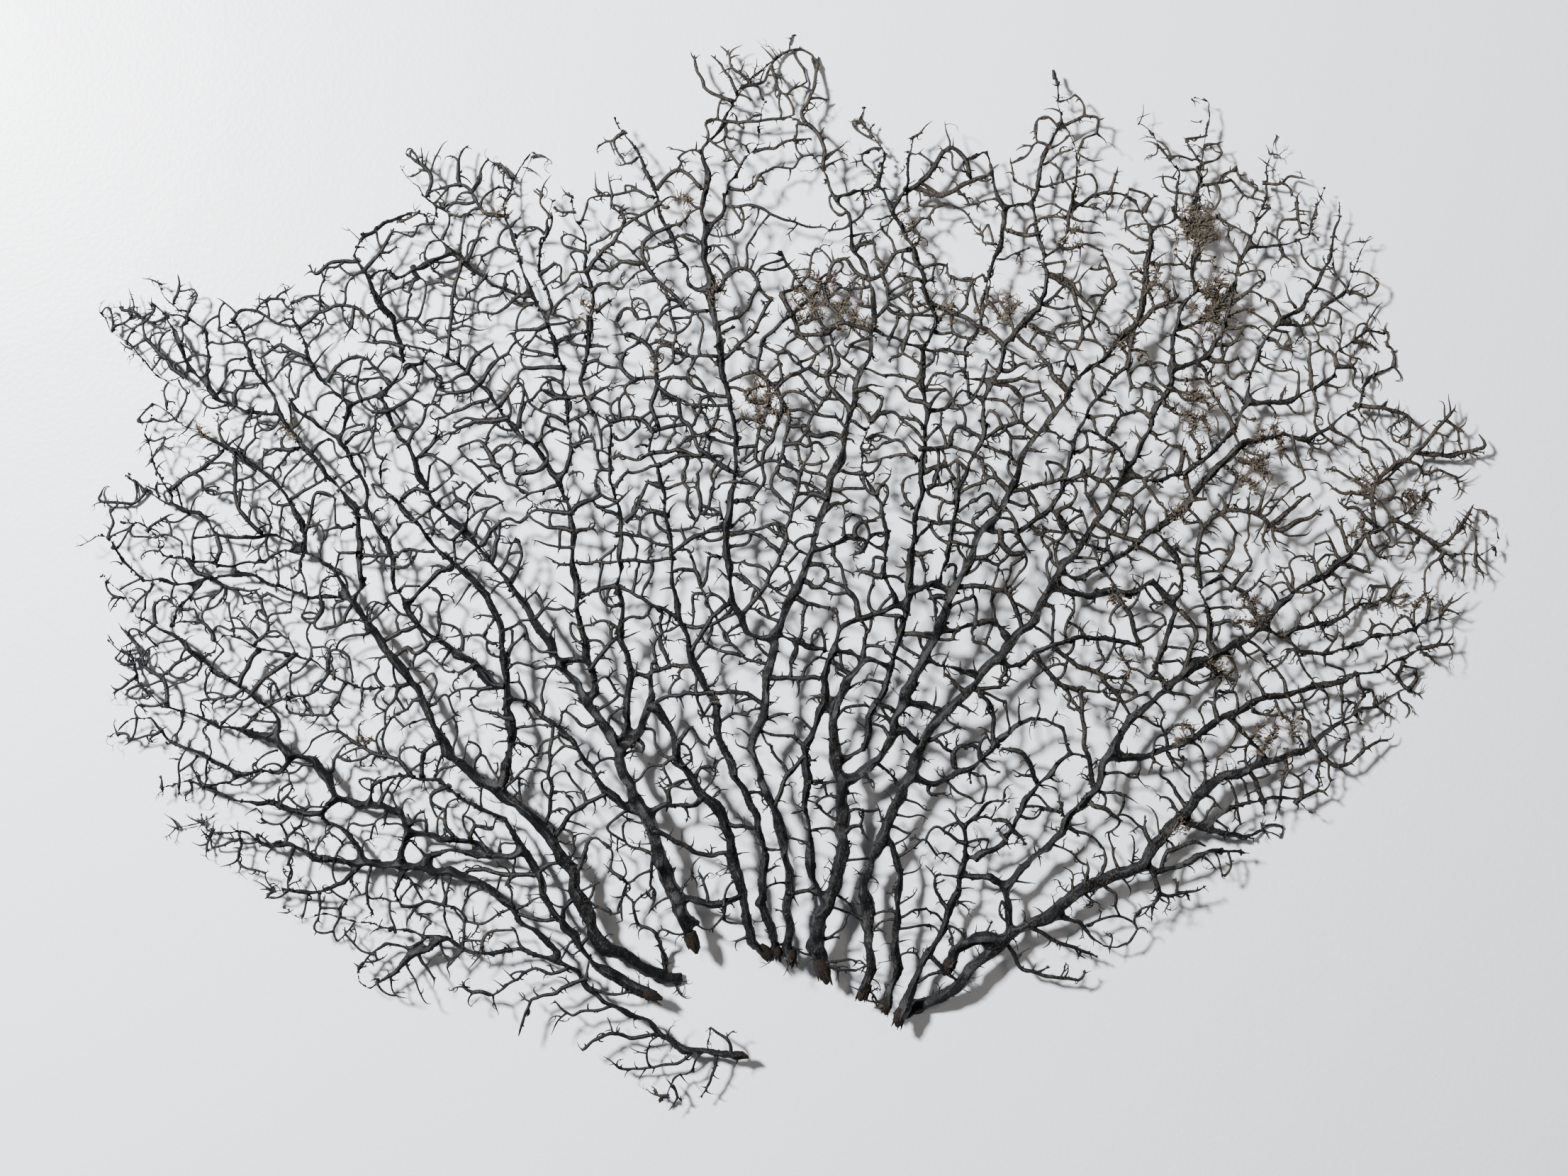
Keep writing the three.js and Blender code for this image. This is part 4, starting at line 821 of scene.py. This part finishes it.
def grow(net):
    """Grows twigs from the stems and the placed twigs towards the open space, until it is filled."""
    aims = open_space(net)
    sockets = net.sockets()
    roots = len(sockets)
    for _ in range(ROUNDS):
        tree = tree_of([net.surface[k] for k in sockets] + net.points, flat=True)
        pulls, left = {}, []
        for aim in aims:
            _, k, span = tree.find(aim)
            if span < CLEARANCE:
                continue
            left.append(aim)
            if span < SIGHT:
                pulls.setdefault(k, []).append(aim)
        grown = 0
        for k, seen in pulls.items():
            at = k - roots if k >= roots else net.plant(sockets[k])
            here = net.points[at]
            flat = Vector((here.x, here.y))
            want = sum(((aim.xy - flat).normalized() for aim in seen), Vector((0, 0)))
            if want.length < 0.3:
                want = seen[0].xy - flat
            back = net.parent[at]
            steady = (here - net.points[back]).xy.normalized() if back >= 0 else Vector((0, 0))
            outward = (flat - BASE).normalized()
            sway = scatter(1, 1) * SWAY
            wander = ripple.noise_vector(here / BEND_LENGTH).xy * WANDER
            way = want.normalized() + steady * STEADINESS + outward * OUTWARD + sway + wander
            step = way.normalized() * STRIDE
            x, y = here.x + step.x, here.y + step.y
            z = here.z + 0.25 * (net.height(x, y) - here.z) + chance.gauss(0, 0.22)
            if tree.find((x, y, 0))[2] > 0.45 * STRIDE:
                net.add((x, y, max(z, 0.6)), at)
                grown += 1
        if not grown:
            break
        aims = left


def join_ends(net):
    """Ends some of the twigs on a neighbour, so that the net closes into cells."""
    forks = net.forks()
    tree = tree_of(net.surface + net.points)

    def line_of(k):
        line = [k]
        while net.parent[k] >= 0:
            k = net.parent[k]
            line.append(k)
        return line

    for tip in [k for k in range(len(net.points)) if k not in forks and net.parent[k] >= 0]:
        here = net.points[tip]
        loose = here.y < -45 and abs(here.x) < 130 or here.x + here.y > 170
        if chance.random() > JOIN_SHARE * (LOOSE if loose else 1) or net.weight[tip] is not None:
            continue
        if not enclosed(net, here.x, here.y) and chance.random() < EDGE_FREE:
            continue
        own = line_of(tip)
        root = net.points[own[-1]]
        apart = max(ROOT_CLEAR, 0.65 * STRIDE * len(own))
        ahead = (here - net.points[net.parent[tip]]).normalized()
        best = None
        for spot, k, span in tree.find_range(here, JOIN_SIGHT):
            index = k - len(net.surface)
            if span < 1.5 or (spot - root).length < apart:
                continue
            if index >= 0 and line_of(index)[-1] == own[-1] and chance.random() < OWN_REFUSED:
                continue
            facing = (spot - here).normalized().dot(ahead)
            if facing > AHEAD and (best is None or span - AHEAD_WORTH * facing < best[0]):
                best = (span - AHEAD_WORTH * facing, index, k)
        if best:
            _, index, k = best
            goal = net.points[index]
            if index < 0:
                goal = Vector(net.surface[k]) - Vector(net.normals[k]) * SEAT_DEPTH
            bow = ahead * 0.25 * (goal - here).length
            count = max(2, round((goal - here).length / STRIDE))
            at = tip
            for step in range(1, count + 1):
                share = step / count
                at = net.add(here.lerp(goal, share) + bow * 2.4 * share * (1 - share), at)
            net.joins[at] = index


def smooth_net(net):
    """Rounds the twigs off. Roots, joined ends and listed twigs keep their places."""
    forks = net.forks()
    for _ in range(2):
        moved = list(net.points)
        for k, parent in enumerate(net.parent):
            if parent < 0 or k in net.joins or k not in forks or net.weight[k] is not None:
                continue
            after = sum((net.points[c] for c in forks[k]), Vector()) / len(forks[k])
            moved[k] = net.points[k].lerp((net.points[parent] + after) / 2, 0.5)
        net.points = moved
    for k, goal in net.joins.items():
        if goal >= 0:
            net.points[k] = net.points[goal].copy()


def twig_radii(net):
    """Each point's radius: thin at a tip, and thicker with all that the twig carries."""
    load = [0.0] * len(net.points)
    for k in range(len(net.points) - 1, -1, -1):
        if load[k] == 0:
            load[k] = (JOINED_RADIUS if k in net.joins else TIP_RADIUS) ** BRANCHING
        if net.parent[k] >= 0:
            load[net.parent[k]] += load[k] * 1.05
    radii = []
    for point, value in zip(net.points, load):
        middle = MIDDLE_GIRTH * math.exp(-((point.x - 20) / 170) ** 2 - ((point.y - 10) / 120) ** 2)
        radii.append(min(TWIG_RADIUS, value ** (1 / BRANCHING)) * (1 + middle))
    for k, given in enumerate(net.weight):
        if given is not None:
            radii[k] = given
    return radii


def chains(net, load):
    """Splits the tree into lines of points. Each runs on along the thickest fork."""
    forks = net.forks()
    starts = [[k] for k in forks.get(-1, [])]
    lines = []
    while starts:
        line = starts.pop()
        while line[-1] in forks:
            after = sorted(forks[line[-1]], key=lambda k: -load[k])
            starts += [[line[-1], k] for k in after[1:]]
            line.append(after[0])
        if len(line) > 1:
            lines.append(line)
    return lines


def tube_mesh(name, lines, sides, *materials):
    """One mesh of tapered tubes. Each line is (points in mm, radii in mm, material number)."""
    curve = bpy.data.curves.new(name, "CURVE")
    curve.dimensions = "3D"
    curve.bevel_depth = 1.0
    curve.bevel_resolution = sides // 2 - 2
    curve.use_fill_caps = True
    for points, radii, material in lines:
        spline = curve.splines.new("POLY")
        spline.points.add(len(points) - 1)
        flat = [value for point in points for value in (point[0] * MM, point[1] * MM, point[2] * MM, 1.0)]
        spline.points.foreach_set("co", flat)
        spline.points.foreach_set("radius", [radius * MM for radius in radii])
        spline.material_index = material
        spline.use_smooth = True
    for material in materials:
        curve.materials.append(material)
    return applied(add_object(name, curve))


def shape_ends(points, sizes, rooted, joined):
    """Widens a twig's ends where they stand on something, and points them where they are free."""
    walked = 0.0
    for k in range(len(points)):
        walked += (points[k] - points[k - 1]).length if k else 0
        if walked < ROOT_FLARE and rooted:
            sizes[k] *= 1 + ROOT_GAIN * (1 - walked / ROOT_FLARE) ** 2
    if joined:
        back = 0.0
        for k in range(len(points) - 1, 0, -1):
            if back < END_FLARE:
                sizes[k] *= 1 + END_GAIN * (1 - back / END_FLARE) ** 2
            back += (points[k] - points[k - 1]).length
    else:
        for back, share in zip(range(1, len(sizes)), FREE_END):
            sizes[-back] *= share
    if not rooted:
        for k, share in enumerate(FREE_END[:len(sizes)]):
            sizes[k] *= share


def net_lines(net):
    """The net's tubes, with flared roots and knobbly sides."""
    radii = twig_radii(net)
    routes = chains(net, radii)
    owner = {k: number for number, line in reversed(list(enumerate(routes))) for k in line}
    tree = tree_of(net.surface + net.points)

    def hold(spot, number, size):
        """How near the closest stem or other twig is to an end, a place in it, and if it is a stem."""
        near = [(span, k, place) for place, k, span in tree.find_range(spot, END_REACH)
                if k < len(net.surface) or owner.get(k - len(net.surface)) != number]
        if not near:
            return None
        span, k, place = min(near, key=lambda hit: hit[0])
        if k < len(net.surface):
            place = place - Vector(net.normals[k]) * min(MAX_DEPTH, 0.5 + size)
        return span, place, k < len(net.surface)

    lines = []
    for number, line in enumerate(routes):
        points = [net.points[k] for k in line]
        sizes = [radii[k] * chance.uniform(0.9, 1.12) for k in line]
        sizes[0] = radii[line[1]]
        first, last = hold(points[0], number, sizes[0]), hold(points[-1], number, sizes[-1])
        rooted = net.parent[line[0]] >= 0 or first is not None
        near = TOUCHING if last and last[2] else MEETING
        joined = last is not None and (line[-1] in net.joins or last[0] < near)
        if net.parent[line[0]] < 0 and first:
            points.insert(0, first[1])
            sizes.insert(0, sizes[0])
        if joined:
            points.append(last[1])
            sizes.append(sizes[-1])
        shape_ends(points, sizes, rooted, joined)
        slim = max(sizes[2:] or sizes) < SLIM_TWIG
        lines.append((points, [min(size, THICKEST) for size in sizes], int(slim)))
    return lines


def spur_lines(net, lines):
    """Short pointed spurs and side twigs that stand off the stems and the net."""
    spurs = []

    def spur(start, away, length, radius, forked=True):
        curl = Matrix.Rotation(chance.gauss(0, 0.38), 3, "Z")
        points = [start]
        steps = 3 if length < 3 else 5
        way = away.normalized()
        for _ in range(steps):
            way = (curl @ way + Vector((0, 0, chance.gauss(0, 0.15)))).normalized()
            points.append(points[-1] + way * length / steps)
        if min(point.z for point in points) < 0.4:
            return
        taper = (1.35, 1.0, 0.88, 0.76, 0.64, 0.45)
        sizes = [radius * taper[round(5 * k / steps)] for k in range(steps + 1)]
        spurs.append((points, sizes, 1 if length > 3 else 0))
        if forked and length > 4.5:
            for _ in range(chance.choice((1, 1, 2))):
                at = points[chance.randrange(1, steps)]
                side = way.cross(Vector((0, 0, 1))) * chance.choice((-1, 1)) + way * 0.7
                spur(at, side, length * chance.uniform(0.3, 0.55), radius * 0.75, False)

    for spot, normal in zip(net.surface, net.normals):
        if chance.random() < STEM_SPURS:
            outward = (Vector(spot).xy - BASE).normalized()
            away = Vector(normal) + Vector((outward.x, outward.y, 0)) * chance.uniform(-0.1, 0.9)
            away.z *= 0.5
            length = 1.5 + 9 * chance.random() ** 1.7
            spur(Vector(spot) - Vector(normal) * 0.5, away, length, chance.uniform(0.19, 0.33))
    for points, sizes, _ in lines:
        for k in range(2, len(points) - 1):
            if chance.random() < TWIG_SPURS:
                along = (points[k + 1] - points[k - 1]).normalized()
                side = along.cross(Vector((0, 0, 1))) * chance.choice((-1, 1))
                away = side + along * chance.uniform(-0.2, 0.9) + Vector((0, 0, chance.gauss(0, 0.3)))
                spur(points[k], away, 1.5 + 6.5 * chance.random() ** 1.5, min(0.45, sizes[k] * 0.75))
    return spurs


# ---- old growth and broken ends ---------------------------------------------------------------------------
def net_tree(net):
    """A tree of all places on the stems and twigs, as seen from above, and the places."""
    places = [Vector(spot) for spot in net.surface] + net.points
    return tree_of(places, flat=True), places


def fibre_mesh(net):
    """Thin dry fibres, wound about in each clump of old growth."""
    tree, places = net_tree(net)
    lines = []
    for x, y, wide, tall, _, count in OLD_GROWTH:
        for _ in range(6 * count):
            spot = (chance.gauss(x, wide * 0.45), chance.gauss(y, tall * 0.45), 0)
            point = places[tree.find(spot)[1]].copy()
            outward = (point.xy - BASE).normalized().to_3d()
            way = (outward + scatter(0.9, 0.9, 0.4)).normalized()
            points = [point]
            for _ in range(chance.randrange(2, 6)):
                home = Vector((x - point.x, y - point.y, 0)) * 0.01
                way = (way + home + scatter(0.25, 0.25, 0.15)).normalized()
                point = point + way * 1.1
                point.z = max(point.z, 0.4)
                points.append(point)
            thick = chance.uniform(0.12, 0.3)
            sizes = [thick * (1 - 0.5 * k / len(points)) for k in range(len(points))]
            lines.append((points, sizes, 0))
    return tube_mesh("old_growth_fibres", lines, 4, old_growth)


def add_crumb(bm, spot, size, flat):
    """One rough crumb, pressed flat and turned at random."""
    detail = 1 if size < 1.0 else 2
    made = bmesh.ops.create_icosphere(bm, subdivisions=detail, radius=1.0)["verts"]
    axis = scatter(1, 1, 1)
    turn = Matrix.Rotation(chance.uniform(0, 6.3), 3, axis)
    shape = Vector((size * 1.2, size * chance.uniform(0.3, 0.6), size * flat))
    for vert in made:
        rough = 1 + 0.7 * ripple.noise(vert.co * 2.6 + spot) + chance.uniform(-0.16, 0.16)
        vert.co = (turn @ (vert.co * shape) * rough + spot) * MM


def crumb_mesh(net):
    """Crumbs and flakes of old growth: in the clumps, and scattered over the dusty side of the fan."""
    tree, places = net_tree(net)
    batches = []
    for x, y, wide, tall, count, _ in OLD_GROWTH:
        batch = []
        for _ in range(max(2, count // 2)):
            spot = (chance.gauss(x, wide * 0.5), chance.gauss(y, tall * 0.5), 0)
            held = places[tree.find(spot)[1]]
            for _ in range(chance.randrange(2, 9)):
                lift = Vector((chance.gauss(0, 0.8), chance.gauss(0, 0.9), chance.uniform(-0.6, 1.0)))
                size = 0.35 + 1.1 * chance.random() ** 2.0
                batch.append((held + lift, size, chance.uniform(0.12, 0.3)))
        batches.append(batch)
    batch = []
    for held in places:
        dusty = (held.x - 40) / 220 + (held.y + 40) / 500
        if chance.random() < 0.04 * max(0.0, dusty) and ripple.noise(held / 24) > -0.1:
            batch.append((held + Vector((0, 0, 0.3)), chance.uniform(0.35, 0.9), chance.uniform(0.3, 0.6)))
    batches += [batch[k:k + 60] for k in range(0, len(batch), 60)]
    whole = bmesh.new()
    for batch in batches:
        part = bmesh.new()
        for spot, size, flat in batch:
            add_crumb(part, spot, size, flat)
        mesh = bpy.data.meshes.new("batch")
        part.to_mesh(mesh)
        part.free()
        whole.from_mesh(mesh)
        bpy.data.meshes.remove(mesh)
    mesh = bpy.data.meshes.new("old_growth_crumbs")
    mesh.materials.append(old_growth)
    whole.to_mesh(mesh)
    return mesh


def splinter_mesh():
    """The broken feet of the stems: a rough taper with torn fibres about it."""
    lines = []
    for centre, normal, radius in broken_ends:
        centre, radius = centre / MM, radius / MM
        core = [centre + normal * radius * along for along in (-1.5, -0.6, 0.3, 0.9, 1.4)]
        core = [point + scatter(0.1, 0.1).to_3d() * radius for point in core]
        lines.append((core, [radius * share for share in (0.8, 0.94, 0.8, 0.5, 0.2)], 0))
        for _ in range(TORN_FIBRES):
            side = scatter(1, 1, 1).normalized()
            way = (normal + side * 0.16).normalized()
            length = chance.uniform(0.2, 1.5) * radius
            start = centre - normal * radius * chance.uniform(0.2, 1.0) + side * radius * 0.6
            points = [start, start + way * radius * 0.6, start + way * (radius * 0.6 + length)]
            for point in points:
                point.z = max(point.z, 0.4)
            lines.append((points, [radius * share for share in (0.3, 0.24, 0.05)], 0))
    return tube_mesh("broken_ends", lines, 6, torn_horn)


def stem_surface(pieces):
    """Points spread over the stems' sides, with their normals."""
    seen, spots, normals = set(), [], []
    for piece in pieces:
        facing = vertex_values(piece.data, "normal")
        for place, normal in zip(vertex_values(piece.data, "co") / MM, facing):
            if abs(normal[2]) > 0.35:
                continue
            cell = tuple(int(v // SURFACE_STEP) for v in place)
            if cell not in seen:
                seen.add(cell)
                spots.append(tuple(place))
                normals.append(tuple(normal))
    return spots, normals


BANDS = ["far_left", "left", "centre_left", "centre_right", "right", "far_right"]


def sector(points):
    """The number of the upright band of the fan that a line starts in."""
    left, right = cad_box[0][0] / MM, cad_box[1][0] / MM
    number = int(len(BANDS) * (points[0][0] - left) / (right - left))
    return min(len(BANDS) - 1, max(0, number))


# ---- build ----------------------------------------------------------------------------------------------
horn = skeleton_material("black_horn", "#030405", "#0b0d10", "#4d473e", 0.2, 0.5, 0.6)
twig_horn = skeleton_material("black_horn", "#040506", "#0d0f12", "#554d42", 0.26, 0.5, 0.6)
twig_tips = skeleton_material("brown_twig_tips", "#110908", "#251613", "#584b3e", 0.24, 0.52, 0.3)
old_growth = dry_matter("old_growth", "#26221d", "#645a4d", 0.8)
torn_horn = dry_matter("torn_horn", "#080706", "#261e17", 0.9)

surfaces, broken_ends = {}, []
for one in frame["nodes"]:
    copied = clean_copy(one)
    surfaces[one] = BVHTree.FromBMesh(copied)
    copied.free()
stems = [grow_stems(name, nodes, surfaces, horn) for name, nodes in STEM_GROUPS.items()]

net = Net(*stem_surface(stems))
place_by_hand(net)
grow(net)
join_ends(net)
smooth_net(net)
twigs = net_lines(net)
spurs = spur_lines(net, twigs)

for number, band in enumerate(BANDS):
    for kind, lines, sides in (("twigs_", twigs, 6), ("spurs_", spurs, 4)):
        own = [line for line in lines if sector(line[0]) == number]
        keep_piece(tube_mesh(kind + band, own, sides, twig_horn, twig_tips), kind + band)

keep_piece(fibre_mesh(net), "old_growth_fibres")
keep_piece(crumb_mesh(net), "old_growth_crumbs")
keep_piece(splinter_mesh(), "broken_ends")


# ---- board, light and camera ----------------------------------------------------------------------------
def board():
    """A pale painted board, larger than the view."""
    mesh = bpy.data.meshes.new("board")
    bm = bmesh.new()
    bmesh.ops.create_grid(bm, x_segments=1, y_segments=1, size=2.0)
    bm.to_mesh(mesh)
    floor = add_object("board", mesh)
    material, tree, shader = new_material("pale_paint")
    place = node(tree, "ShaderNodeTexCoord").outputs["Object"]
    shader.inputs["Base Color"].default_value = to_linear("#e4e5e8")
    shader.inputs["Roughness"].default_value = 0.38
    peel = noise(tree, place, 420, 2)  # the paint's unevenness, about 2 mm
    bump = node(tree, "ShaderNodeBump", {"Height": peel, "Strength": 0.25, "Distance": 0.0005})
    tree.links.new(bump.outputs[0], shader.inputs["Normal"])
    mesh.materials.append(material)


def area_light(name, place, size, power, colour):
    """A round, soft light that shines on the middle of the fan."""
    lamp = bpy.data.lights.new(name, "AREA")
    lamp.shape, lamp.size, lamp.energy, lamp.color = "DISK", size, power, colour
    holder = add_object(name, lamp)
    holder.location = place
    holder.rotation_euler = (-Vector(place)).to_track_quat("-Z", "Y").to_euler()


board()
area_light("window_left", (-0.86, 0.52, 1.18), 0.2, 99, (0.95, 0.97, 1.0))
area_light("lamp_right", (0.75, 0.55, 1.6), 0.5, 5, (1.0, 0.93, 0.84))
area_light("ceiling", (0.05, -0.25, 2.2), 1.6, 2.5, (1.0, 1.0, 1.0))
world = bpy.data.worlds.new("studio")
world.use_nodes = True
background = world.node_tree.nodes["Background"].inputs
background["Color"].default_value = (0.78, 0.81, 0.86, 1)
background["Strength"].default_value = 0.06
bpy.context.scene.world = world

VIEW_WIDTH = 0.6636            # width of the view at the fan's mean height
VIEW_CENTRE = (-0.0058, -0.0096)
MEAN_HEIGHT = 0.012
LENS, SENSOR = 50.0, 36.0
eye = bpy.data.cameras.new("eye")
eye.lens, eye.sensor_width = LENS, SENSOR
camera = add_object("eye", eye)
camera.location = (*VIEW_CENTRE, MEAN_HEIGHT + VIEW_WIDTH * LENS / SENSOR)
bpy.context.scene.camera = camera
